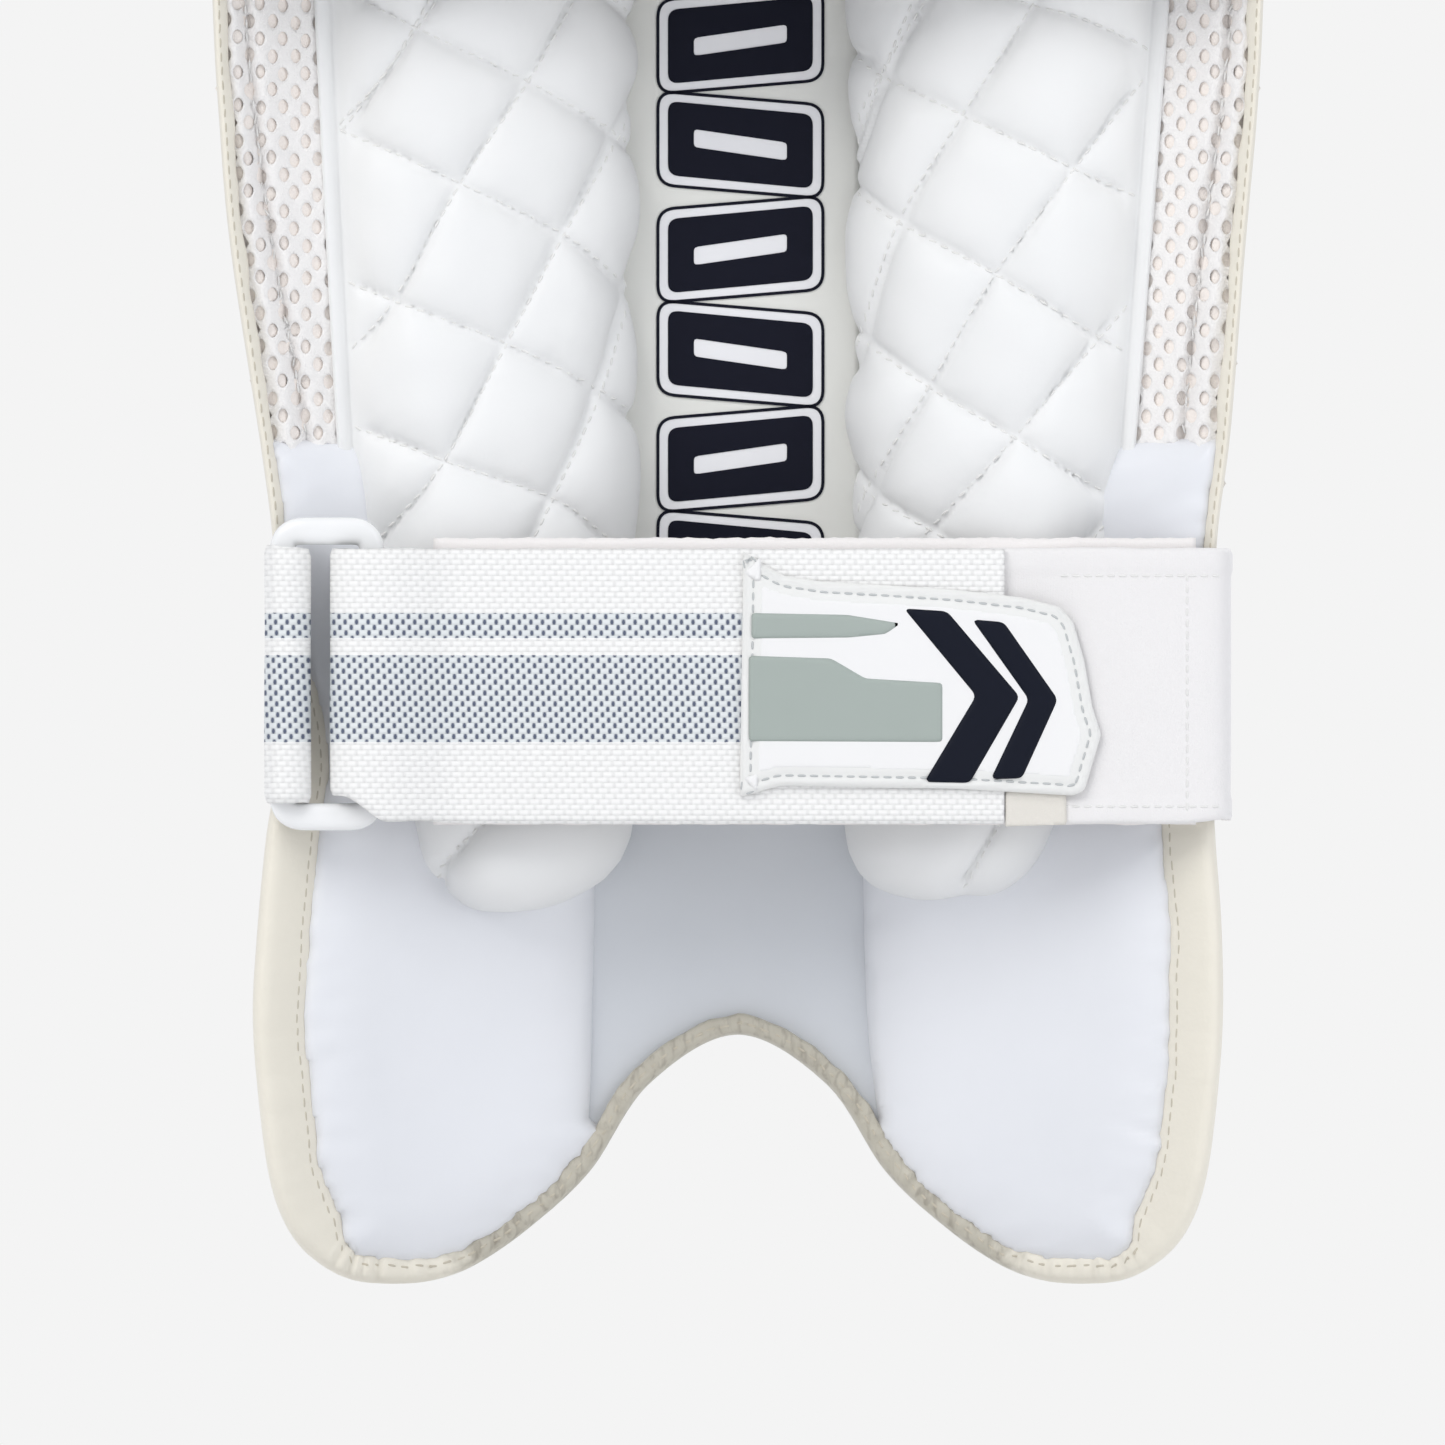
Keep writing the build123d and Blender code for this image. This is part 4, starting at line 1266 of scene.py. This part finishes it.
def build_badge(strap, height, face_y, body):
    """A raised rubber badge with two bars and plain nested chevrons."""
    outline = resample(looped(BADGE_OUTLINE), 0.8, True) + [0, height]

    def front(x, z, distance):
        edge = np.sqrt(np.clip(distance / 0.8, 0, 1))
        channel = 0.45 * np.exp(-(((distance - 2.3) / 0.75) ** 4))
        return face_y - BADGE_BASE * (0.35 + 0.65 * edge) + channel

    base = slab(f"{strap}_badge_base", outline, front, level(face_y), 0.75, BADGE_RIM, on_plane, body)
    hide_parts(f"{strap}_badge")
    tree = tree_of(base)
    inner = offset_loop(outline, -2.3)
    placed = stitch_row(tree, looped(inner), 2.7, -0.05)
    stitches(f"{strap}_badge_stitches", placed, GREY_THREAD, body, 1.9, 0.28)

    def plate(name, points, material, raise_by, corner):
        poly = rounded([(x, z + height) for x, z in points], corner, 0.6)

        def top(x, z, distance):
            round_edge = np.sqrt(np.clip(distance / 0.6, 0, 1))
            return face_y - BADGE_BASE + 0.12 - raise_by * (0.4 + 0.6 * round_edge)

        piece = slab(name, poly, top, level(face_y - BADGE_BASE + 0.2), 0.7, material, on_plane, body)

    face = offset_loop(outline, -3.9)
    plate(f"{strap}_badge_face", [(x, z - height) for x, z in face[::3]], BADGE_WHITE, 0.2, 0.6)
    plate(f"{strap}_badge_bar_upper", BADGE_UPPER_BAR, BADGE_GREEN, 0.5, 0.6)
    plate(f"{strap}_badge_bar_lower", BADGE_LOWER_BAR, BADGE_GREEN, 0.5, 0.8)
    for k, points in enumerate(BADGE_CHEVRONS):
        plate(f"{strap}_badge_chevron_{k + 1}", points, BADGE_NAVY, 0.6, 1.2)


def side_at(height, hand):
    """Half the outline's width on one side at a strap's height, at its widest."""
    near = OUTLINE[(hand * OUTLINE[:, 0] > 60) & (np.abs(OUTLINE[:, 1] - height) < 22)]
    return np.max(hand * near[:, 0])


def build_strap(strap, seed):
    """One strap: anchor loop, ring, lined strap, striped tail with hook patch and badge, and end band."""
    ring_low, ring_high = box_mm(f"{strap}_ring")
    patch_low, patch_high = box_mm(f"{strap}_hook_patch")
    loop_low, loop_high = box_mm(f"{strap}_loop_strap")
    edge = box_mm(f"{strap}_end_band")[1][0]
    height = (loop_low[2] + loop_high[2]) / 2
    bar = 5.5
    by = (ring_low[1] + ring_high[1]) / 2
    anchor_x = ring_low[0] + bar / 2
    tail_x = ring_high[0] - bar / 2
    tail_y = (patch_low[1] + patch_high[1]) / 2
    tail = f"{strap}_tail"

    ring = ring_sweep(f"{strap}_ring_plastic", ring_low, ring_high, bar, 6.0, RING_PLASTIC, f"{strap}_ring")
    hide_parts(f"{strap}_ring")

    fabric = woven(f"{strap}_webbing_weave", height, STRIPES)
    out = -side_at(height, -1) - 1.1
    loop = smooth(
        [
            (out, by + 30), (out, by + 15), (out, by + 5.0), (out + 0.3, by + 0.6),
            (out + 1.6, by - 3.4), (anchor_x - 0.6, by - 5.3),
            (anchor_x + 2.6, by - 5.0), (anchor_x + 5.0, by - 2.6), (anchor_x + 5.3, by + 0.8),
            (anchor_x + 3.4, by + 3.9),
            (anchor_x, by + 4.9), (anchor_x - 3.0, by + 4.4),
        ],
        0.7,
    )
    s = lengths(loop)
    high = height + 31.0 - 0.8 * ease(s, 30, 44)
    piece = band(f"{strap}_anchor_webbing", loop, height - 25.8, high, 1.9, fabric, "pad", seed)
    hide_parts(f"{strap}_anchor_loop")

    reach = box_mm(f"{strap}_webbing")[1][0]
    run = smooth(
        [
            (tail_x + 11.5, by + 0.2), (tail_x + 6.0, by + 2.8), (tail_x + 1.0, by + 5.0),
            (tail_x - 4.0, by + 4.6),
            (tail_x - 7.4, by + 1.6), (tail_x - 8.2, by - 2.0), (tail_x - 6.4, by - 5.2),
            (tail_x - 2.0, by - 6.9),
            (tail_x + 4.0, by - 6.6), (tail_x + 10.0, by - 4.6), (tail_x + 17.0, tail_y - 0.5),
            (tail_x + 25.0, tail_y),
            (tail_x + 60, tail_y), (reach - 10, tail_y), (reach, tail_y),
        ],
        0.9,
    )
    flare = 5.6 * ease(run[:, 0], tail_x - 7, tail_x + 4) + 0.6 * ease(run[:, 0], tail_x + 4, tail_x + 30)
    low = height - 24.2 - np.where(lengths(run) < 22, 0.0, flare)
    piece = band(f"{strap}_tail_webbing", run, low, height + 30.2, 1.9, fabric, None, seed + 10, 0.12, 34)
    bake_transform(piece)
    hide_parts(f"{strap}_webbing")

    patch = [
        (patch_low[0] - 0.2, height - 31.0), (patch_high[0] + 0.4, height - 30.6),
        (patch_high[0] + 0.2, height - 22.8), (patch_low[0] - 0.2, height - 22.8),
    ]
    patch = resample(looped(patch), 0.8, True)

    def patch_front(x, z, distance):
        edge_drop = 0.2 * (1 - np.sqrt(np.clip(distance / 0.7, 0, 1)))
        return patch_low[1] + 0.1 + edge_drop + 0.10 * waves_2d(x, z, seed + 30, 2.2)

    tape_back = level(patch_high[1])
    piece = slab(f"{strap}_hook_tape", patch, patch_front, tape_back, 0.6, HOOK_TAPE, on_plane, tail)
    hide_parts(f"{strap}_hook_patch")

    loop_mid = (loop_low[1] + tail_y + 1.3) / 2 + 1.9
    lined = [(tail_x + 13.5, loop_mid), (0, loop_mid), (60, loop_mid), (edge - 5.0, loop_mid + 0.1)]
    low, high = height - 30.6, height + 32.6
    name = f"{strap}_lined_strap"
    nap = band(name, smooth(lined, 1.4), low, high, 1.9, LOOP_FABRIC, "pad", seed + 20, 0.1, 40)
    co = np.empty(len(nap.data.vertices) * 3)
    nap.data.vertices.foreach_get("co", co)
    co = co.reshape(-1, 3)
    co[:, 2] += 0.18 * MM * waves(co[:, 0] / MM, seed + 44, 2.1) * (co[:, 2] > (height + 31.5) * MM)
    nap.data.vertices.foreach_set("co", co.ravel())
    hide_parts(f"{strap}_loop_strap")

    end_y = tail_y + 0.2
    start = patch_high[0] + 0.9
    edge = side_at(height, 1) + 0.6
    wrap = smooth(
        [
            (reach - 7, tail_y + 2.0), (reach + 1, tail_y + 1.9), (start - 3, tail_y + 1.3),
            (start + 4, end_y + 0.2), (start + 12, end_y), (edge - 8, end_y), (edge - 1.6, end_y + 0.6),
            (edge + 1.2, end_y + 3.0), (edge + 2.2, end_y + 8.0), (edge + 2.2, end_y + 18.0),
            (edge + 1.8, end_y + 28.0),
        ],
        0.9,
    )
    lean = 0.8 * ease(wrap[:, 0], edge - 10, edge + 2)
    low, high = height - 30.4 + lean, height + 30.4 - 0.3 * lean
    name = f"{strap}_end_webbing"
    piece = band(name, wrap, low, high, 1.5, END_FABRIC, "pad", seed + 50, 0.14, 44, 0.35, 5.6)
    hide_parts(f"{strap}_end_band")
    tree = tree_of(piece)
    xs = np.arange(start - 1.0, edge - 0.6, 0.9)
    placed = []
    for row_z in (height + 24.2, height - 26.6):
        placed += stitch_row(tree, np.stack([xs, np.full_like(xs, row_z)], axis=1), 2.5, -0.02)
    zs = np.arange(height - 26.6, height + 24.2, 0.9)
    placed += stitch_row(tree, np.stack([np.full_like(zs, edge - 7.0), zs], axis=1), 2.5, -0.02)
    stitches(f"{strap}_end_stitches", placed, THREAD, "pad", 1.8, 0.27)
    build_badge(strap, height, patch_low[1] - 0.35, tail)


for number, strap in enumerate(("ankle", "calf", "knee")):
    build_strap(strap, 100 * (number + 1))


# ---------------------------------------------------------------- front, knee, top hat and wings

RIB_COUNT = 7
RIB_PITCH = 8.4
RIB_WIDTH = 23.8
RIB_DEPTH = 18.6
RIB_INNER = 177.4
RIB_TOP = 439.7


def crowded(end, fine, coarse):
    """Shares from 0 to 1, closer together near both ends."""
    last = np.linspace(1 - end, 1, fine)[1:]
    return np.concatenate([np.linspace(0, end, fine)[:-1], np.linspace(end, 1 - end, coarse), last])


def arc_place(x, r, z, root=0.0):
    """World points for a distance round the shell (at lining radius) from an angle in degrees."""
    x, r, z = np.broadcast_arrays(np.asarray(x, float), np.asarray(r, float), np.asarray(z, float))
    a = np.radians(root) + x / LINING_BACK
    return np.stack([r * np.sin(a), ARC_Y + r * np.cos(a), z], axis=-1)


def lowest_at(x, margin):
    """The inset outline's lowest height at each front-view distance."""
    p = inset(margin)
    p = p[p[:, 1] < 120]
    nearest = np.abs(p[:, 0][None, :] - np.asarray(x).reshape(-1, 1))
    out = np.where(nearest < 1.2, p[:, 1][None, :], 1e3).min(axis=1)
    return out.reshape(np.shape(x))


def build_ribs(name, inner, low_of, top, body, width=RIB_WIDTH, depth=RIB_DEPTH, seed=200):
    """Padded vertical ribs: one closed sleeve for each cane."""
    pieces = []
    for k in range(RIB_COUNT):
        middle = np.radians((k - (RIB_COUNT - 1) / 2) * RIB_PITCH)
        a = np.linspace(0, 2 * np.pi, 44, endpoint=False)
        across = flattened(np.cos(a), 0.62) * width / 2
        out = 0.5 + 0.5 * flattened(np.sin(a), 0.72)
        radius_mid = inner + depth / 2
        t = crowded(0.035, 14, 150)
        front_x = radius_mid * np.sin(middle + across / radius_mid)
        low = low_of(front_x)
        z = low[None, :] + (top - low[None, :]) * t[:, None]
        from_low = z - low[None, :]
        near_end = np.minimum(from_low, top - z)
        full = np.sqrt(1 - (1 - np.clip((near_end + 0.4) / 11, 0, 1)) ** 2)
        crease = 0.35 * waves_2d(np.repeat(across[None, :], len(t), 0), z, seed + k, 26.0)
        r = inner + (depth * full + crease * (out > 0.6)) * out[None, :]
        angle = middle + across[None, :] * (0.82 + 0.18 * full) / radius_mid
        grid = np.stack([r * np.sin(angle), ARC_Y + r * np.cos(angle), z], axis=-1)
        piece = swept(f"{name}_{k + 1}", grid, WHITE_COVER, body)
        pieces.append(piece)
    return pieces


def build_front():
    """The shell's front skin and its seven padded cane ribs."""
    poly = inset(9.0)

    def back(x, z, distance):
        return np.full_like(x, FOAM_OUTER) + 0.25 * waves_2d(x, z, 206, 50.0)

    skin = slab("front_skin", poly, level(LINING_BACK + 0.2), back, 2.6, WHITE_COVER)
    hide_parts("shin_foam")
    ribs = build_ribs("front_rib", RIB_INNER, lambda x: lowest_at(x, 11.5) + 0.5, RIB_TOP, "pad")
    for k, rib in enumerate(ribs):
        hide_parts(f"rib_cover_{k + 1}")
    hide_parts("cane_rods")
    seams = []
    zs = np.arange(30, 436, 1.0)
    tree = tree_of(skin)
    for hand in (-1, 1):
        x = hand * (RIB_INNER * np.sin(np.radians(3.5 * RIB_PITCH)) + 2.0)
        path = np.stack([np.full_like(zs, x), zs], axis=1)
        seams += stitch_row(tree, path, 3.0, -0.1, *FRONT_SIDE)
    stitches("front_seam_stitches", seams, THREAD, length=2.2)


ROLL_PITCH = 40.0
ROLL_SPAN = 37.0
ROLL_DEPTH = 30.0
ROLL_MIDDLE = 190.0


def build_knee():
    """Knee rolls on the front, and the lining and padded cup on the leg side."""
    span = np.radians(ROLL_SPAN)
    for row, name in enumerate(("lower", "middle", "upper")):
        z0 = KNEE_LOW + (row + 0.5) * ROLL_PITCH
        a = np.linspace(0, 2 * np.pi, 52, endpoint=False)
        t = crowded(0.07, 16, 120)
        angle = -span + 2 * span * t
        near = np.minimum(t, 1 - t) * 2 * span * ROLL_MIDDLE
        full = np.sqrt(1 - (1 - np.clip((near + 0.3) / 15, 0, 1)) ** 2)
        cr = flattened(np.cos(a), 0.75)
        cz = flattened(np.sin(a), 0.75)
        arc = np.repeat((angle * ROLL_MIDDLE)[:, None], len(a), 1)
        zz = z0 + (19.8 * (0.7 + 0.3 * full))[:, None] * cz[None, :]
        fold = 0.45 * waves_2d(arc, zz * 0.35, 220 + row, 24.0) * np.maximum(cr, 0)[None, :]
        half = (ROLL_DEPTH / 2 * full)[:, None]
        r = ROLL_INNER + half + half * cr[None, :] + fold
        grid = np.stack([r * np.sin(angle)[:, None], ARC_Y + r * np.cos(angle)[:, None], zz], axis=-1)
        roll = swept(f"knee_bolster_{name}", grid, WHITE_COVER)
        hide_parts(f"knee_roll_{name}")
        if row == 1:
            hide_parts("knee_roll_cores")

    poly = inset(np.maximum(BINDING_W - 1.5, 2.0))
    poly = poly[poly[:, 1] > KNEE_LOW + 0.5]
    poly = poly[np.argsort(np.arctan2(poly[:, 1] - KNEE_HEIGHT, poly[:, 0]))]

    def front(x, z, distance):
        return SIDE_FACE - bulge(distance, 1.6, 12.0) - 0.3 * waves_2d(x, z, 231, 40.0)

    lining = slab("knee_back_lining", poly, front, level(LINING_BACK - 0.3), 1.8, SMOOTH_COVER)
    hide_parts("knee_lining")

    outer = rounded(rectangle(-75, KNEE_HEIGHT - 47, 75, KNEE_HEIGHT + 47), 34, 1.2)
    hollow = rounded(rectangle(-36, KNEE_HEIGHT - 27, 36, KNEE_HEIGHT + 27), 24, 1.2)

    def cup_front(x, z, distance):
        along = np.arctan2(z - KNEE_HEIGHT, x) * 60
        gather = 0.55 * np.exp(-distance / 9) * waves(along, 241, 11)
        return BOLSTER_BACK - 1.5 - bulge(distance, 21.5, 17.0) - gather - 0.4 * waves_2d(x, z, 242, 30.0)

    cup = slab("knee_cup_ring", outer, cup_front, level(BOLSTER_BACK), 1.3, QUILT_COVER, holes=(hollow,))
    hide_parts("knee_cup")
    tree = tree_of(cup)
    for name, loop, shift in (("outer", outer, -4.0), ("inner", hollow, 4.0)):
        line = offset_loop(loop, shift)
        placed = stitch_row(tree, looped(line), STITCH_PITCH, 0.0)
        stitches(f"knee_cup_{name}_stitches", placed, THREAD)


def closed_edge(name, outline, inner_r, outer_r, width, material, body, place=on_arc, seed=300):
    """A folded binding round a closed front-view outline."""
    inward = -outward(outline)
    s = np.arange(len(outline), dtype=float)
    mid = (inner_r + outer_r) / 2
    section = [
        (width, inner_r + 0.8), (width, inner_r - 0.4), (width * 0.8, inner_r - 0.9),
        (width * 0.4, inner_r - 0.9), (1.2, inner_r - 0.1),
        (0, mid - 2), (0, mid + 2), (1.2, outer_r + 0.1), (width * 0.4, outer_r + 0.9),
        (width * 0.8, outer_r + 0.9),
        (width, outer_r + 0.4), (width, outer_r - 0.8), (width, mid),
    ]
    controls = np.repeat(np.array(section)[None], len(s), 0)
    controls[:, 1:10, 1] += (0.25 * waves(s, seed, 13))[:, None] * np.sign(controls[:, 1:10, 1] - mid)
    rows = section_rows(controls)
    spot = outline[:, None, :] + inward[:, None, :] * rows[:, :, :1]
    piece = swept(name, place(spot[..., 0], rows[..., 1], spot[..., 1]), material, body, closed_path=True)
    return piece, inward


HAT_LOW = 568.6
HAT_TOP = 700.0
HAT_HALF = 104.0


def build_top_hat():
    """The thigh flap: board, ribs, lining, binding, and the fabric hinge it folds on."""
    outline = rounded(rectangle(-HAT_HALF, HAT_LOW, HAT_HALF, HAT_TOP), 26, 1.2)
    poly = offset_loop(outline, -4.0)

    def front(x, z, distance):
        return 158.6 - bulge(distance, 2.2, 14.0) - 0.35 * waves_2d(x, z, 251, 36.0)

    def back(x, z, distance):
        return 171.2 + 0.2 * waves_2d(x, z, 252, 40.0)

    board = slab("top_hat_pad", poly, front, back, 1.8, WHITE_COVER, body="top_hat")
    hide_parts("top_hat_board", "top_hat_lining")
    edge, inward = closed_edge("top_hat_binding", outline, 157.8, 171.6, 8.0, CREAM_COVER, "top_hat")
    tree = tree_of(edge)
    line = outline + inward * 6.3
    for name, sight in (("back", LEG_SIDE), ("front", FRONT_SIDE)):
        placed = stitch_row(tree, looped(line), 3.1, 0.1, *sight)
        stitches(f"top_hat_{name}_stitches", placed, BINDING_THREAD, "top_hat", 2.3, 0.33)

    def rib_low(x):
        return np.full(np.shape(x), HAT_LOW + 14.5)

    ribs = build_ribs("top_hat_rib", 171.4, rib_low, HAT_TOP - 9.5, "top_hat", 22.6, 17.4, 260)
    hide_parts("top_hat_ribs")

    hinge_low, hinge_high = box_mm("top_hat_hinge_roll")
    axis_z = (hinge_low[2] + hinge_high[2]) / 2
    poly = resample(looped(rectangle(-97, axis_z - 11, 97, axis_z + 11)), 1.2, True)

    def half_thick(z):
        return 2.6 - 1.5 * np.exp(-(((z - axis_z) / 3.0) ** 2))

    def fold_front(x, z, distance):
        return LINING_BACK - half_thick(z) + 0.2 * waves_2d(x, z, 271, 14.0)

    def fold_back(x, z, distance):
        return LINING_BACK + half_thick(z) + 0.2 * waves_2d(x, z, 272, 14.0)

    hinge = slab("top_hat_gusset", poly, fold_front, fold_back, 1.3, CREAM_COVER, body=None)
    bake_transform(hinge)
    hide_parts("top_hat_hinge_roll")


# The angle round the shell that the wings stand at, in degrees
WING_ROOT = 49.75
WING_HALF = 48.6


def build_wing(side, hand):
    """A padded flap beside the knee, hinged on a fabric strip."""
    def place(x, r, z):
        return arc_place(hand * np.asarray(x), r, z, hand * WING_ROOT)

    outline = rounded(rectangle(0.5, KNEE_HEIGHT - WING_HALF, 40.0, KNEE_HEIGHT + WING_HALF), 13, 1.0)
    poly = offset_loop(outline, -2.0)
    seed = 281 if hand < 0 else 282

    def front(x, z, distance):
        seam = 1.7 * np.exp(-(((distance - 7.5) / 1.1) ** 2))
        return 161.2 - bulge(distance, 3.0, 12.0) + seam - 0.35 * waves_2d(x, z, seed, 24.0)

    def back(x, z, distance):
        seam = 1.7 * np.exp(-(((distance - 7.5) / 1.1) ** 2))
        return 168.8 + bulge(distance, 3.0, 12.0) - seam + 0.35 * waves_2d(x, z, seed + 5, 24.0)

    wing = slab(f"wing_pad_{side}", poly, front, back, 1.1, QUILT_COVER, place, f"wing_{side}")
    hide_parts(f"wing_{side}")
    closed_edge(f"wing_binding_{side}", outline, 160.6, 169.4, 4.5, CREAM_COVER, f"wing_{side}", place, 290)

    strip = resample(looped(rectangle(-7.5, KNEE_HEIGHT - 44, 5, KNEE_HEIGHT + 44)), 1.0, True)

    def strip_front(x, z, distance):
        return LINING_BACK - 1.1 + 0.25 * waves_2d(x, z, seed + 9, 12.0)

    def strip_back(x, z, distance):
        return LINING_BACK + 1.1 + 0.25 * waves_2d(x, z, seed + 9, 12.0)

    hinge = slab(f"wing_hinge_{side}", strip, strip_front, strip_back, 1.1, CREAM_COVER, place, None)
    a = place(-4.5, LINING_BACK, KNEE_HEIGHT) * MM
    b = place(2.5, LINING_BACK, KNEE_HEIGHT) * MM
    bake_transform(hinge)


build_front()
build_knee()
build_top_hat()
for side, hand in (("left", -1), ("right", 1)):
    build_wing(side, hand)


# ---------------------------------------------------------------- stage, light and camera


# Stage sizes are in metres
BACKDROP = (0.905, 0.905, 0.905, 1)
FLOOR_REACH = 6.0
FLOOR_GAP = 0.012
CAMERA_DISTANCE = 3.0
VIEW_WIDTH = 0.3179
VIEW_CENTRE = (-0.0034, 0.1249)
SENSOR_WIDTH = 36


def light(name, kind, energy, place, size, aim, color=(1, 1, 1)):
    data = bpy.data.lights.new(name, kind)
    data.energy = energy
    data.color = color
    if kind == "AREA":
        data.shape = "RECTANGLE"
        data.size, data.size_y = size
    obj = bpy.data.objects.new(name, data)
    bpy.context.scene.collection.objects.link(obj)
    obj.location = place
    obj.rotation_euler = (Vector(aim) - Vector(place)).to_track_quat("-Z", "Y").to_euler()
    return obj


def build_stage():
    """A pale floor, soft studio light and the long-lens camera on the leg side."""
    scene = bpy.context.scene
    floor_mesh = bpy.data.meshes.new("floor")
    floor_z = cad_box[0][2] - FLOOR_GAP
    corners = [(x, y, floor_z) for x, y in rectangle(-FLOOR_REACH, -FLOOR_REACH, FLOOR_REACH, FLOOR_REACH)]
    floor_mesh.from_pydata(corners, [], [[0, 1, 2, 3]])
    floor = bpy.data.objects.new("floor", floor_mesh)
    scene.collection.objects.link(floor)
    n = Nodes("floor_paper", (0.86, 0.86, 0.865), 0.9, 0.05)
    n.bump(n.noise(0.4, 3.0), 0.05, 0.2)
    plain = n.add("ShaderNodeEmission")
    plain.inputs["Color"].default_value = BACKDROP
    path = n.add("ShaderNodeLightPath")
    pick = n.add("ShaderNodeMixShader")
    n.link(path.outputs["Is Camera Ray"], pick.inputs[0])
    n.link(n.shader.outputs[0], pick.inputs[1])
    n.link(plain.outputs[0], pick.inputs[2])
    n.link(pick.outputs[0], n.tree.nodes["Material Output"].inputs["Surface"])
    floor_mesh.materials.append(n.material)

    world = bpy.data.worlds.new("studio")
    scene.world = world
    world.use_nodes = True
    tree = world.node_tree
    tree.nodes.clear()
    out = tree.nodes.new("ShaderNodeOutputWorld")
    lit = tree.nodes.new("ShaderNodeBackground")
    seen = tree.nodes.new("ShaderNodeBackground")
    pick = tree.nodes.new("ShaderNodeMixShader")
    path = tree.nodes.new("ShaderNodeLightPath")
    lit.inputs["Color"].default_value = (0.93, 0.95, 1.0, 1)
    lit.inputs["Strength"].default_value = 0.71
    seen.inputs["Color"].default_value = BACKDROP
    seen.inputs["Strength"].default_value = 1.0
    tree.links.new(path.outputs["Is Camera Ray"], pick.inputs[0])
    tree.links.new(lit.outputs[0], pick.inputs[1])
    tree.links.new(seen.outputs[0], pick.inputs[2])
    tree.links.new(pick.outputs[0], out.inputs[0])

    centre = (0, -0.03, 0.20)
    light("key", "AREA", 23.5, (-1.1, -1.7, 1.75), (1.3, 1.3), centre, (1.0, 0.99, 0.97))
    light("fill", "AREA", 8.2, (1.6, -1.5, 0.75), (1.2, 1.6), centre, (0.96, 0.98, 1.0))
    light("rim", "AREA", 26, (0.5, 1.9, 1.7), (1.5, 1.0), (0, 0, 0.35))

    camera_data = bpy.data.cameras.new("camera")
    camera = bpy.data.objects.new("camera", camera_data)
    scene.collection.objects.link(camera)
    plane_y = -0.03
    camera.location = (VIEW_CENTRE[0], plane_y - CAMERA_DISTANCE, VIEW_CENTRE[1])
    camera.rotation_euler = (np.pi / 2, 0, 0)
    camera_data.sensor_width = SENSOR_WIDTH
    camera_data.lens = SENSOR_WIDTH * CAMERA_DISTANCE / VIEW_WIDTH
    camera_data.clip_start, camera_data.clip_end = 0.05, 50
    scene.camera = camera
    scene.view_settings.view_transform = "Standard"


build_stage()
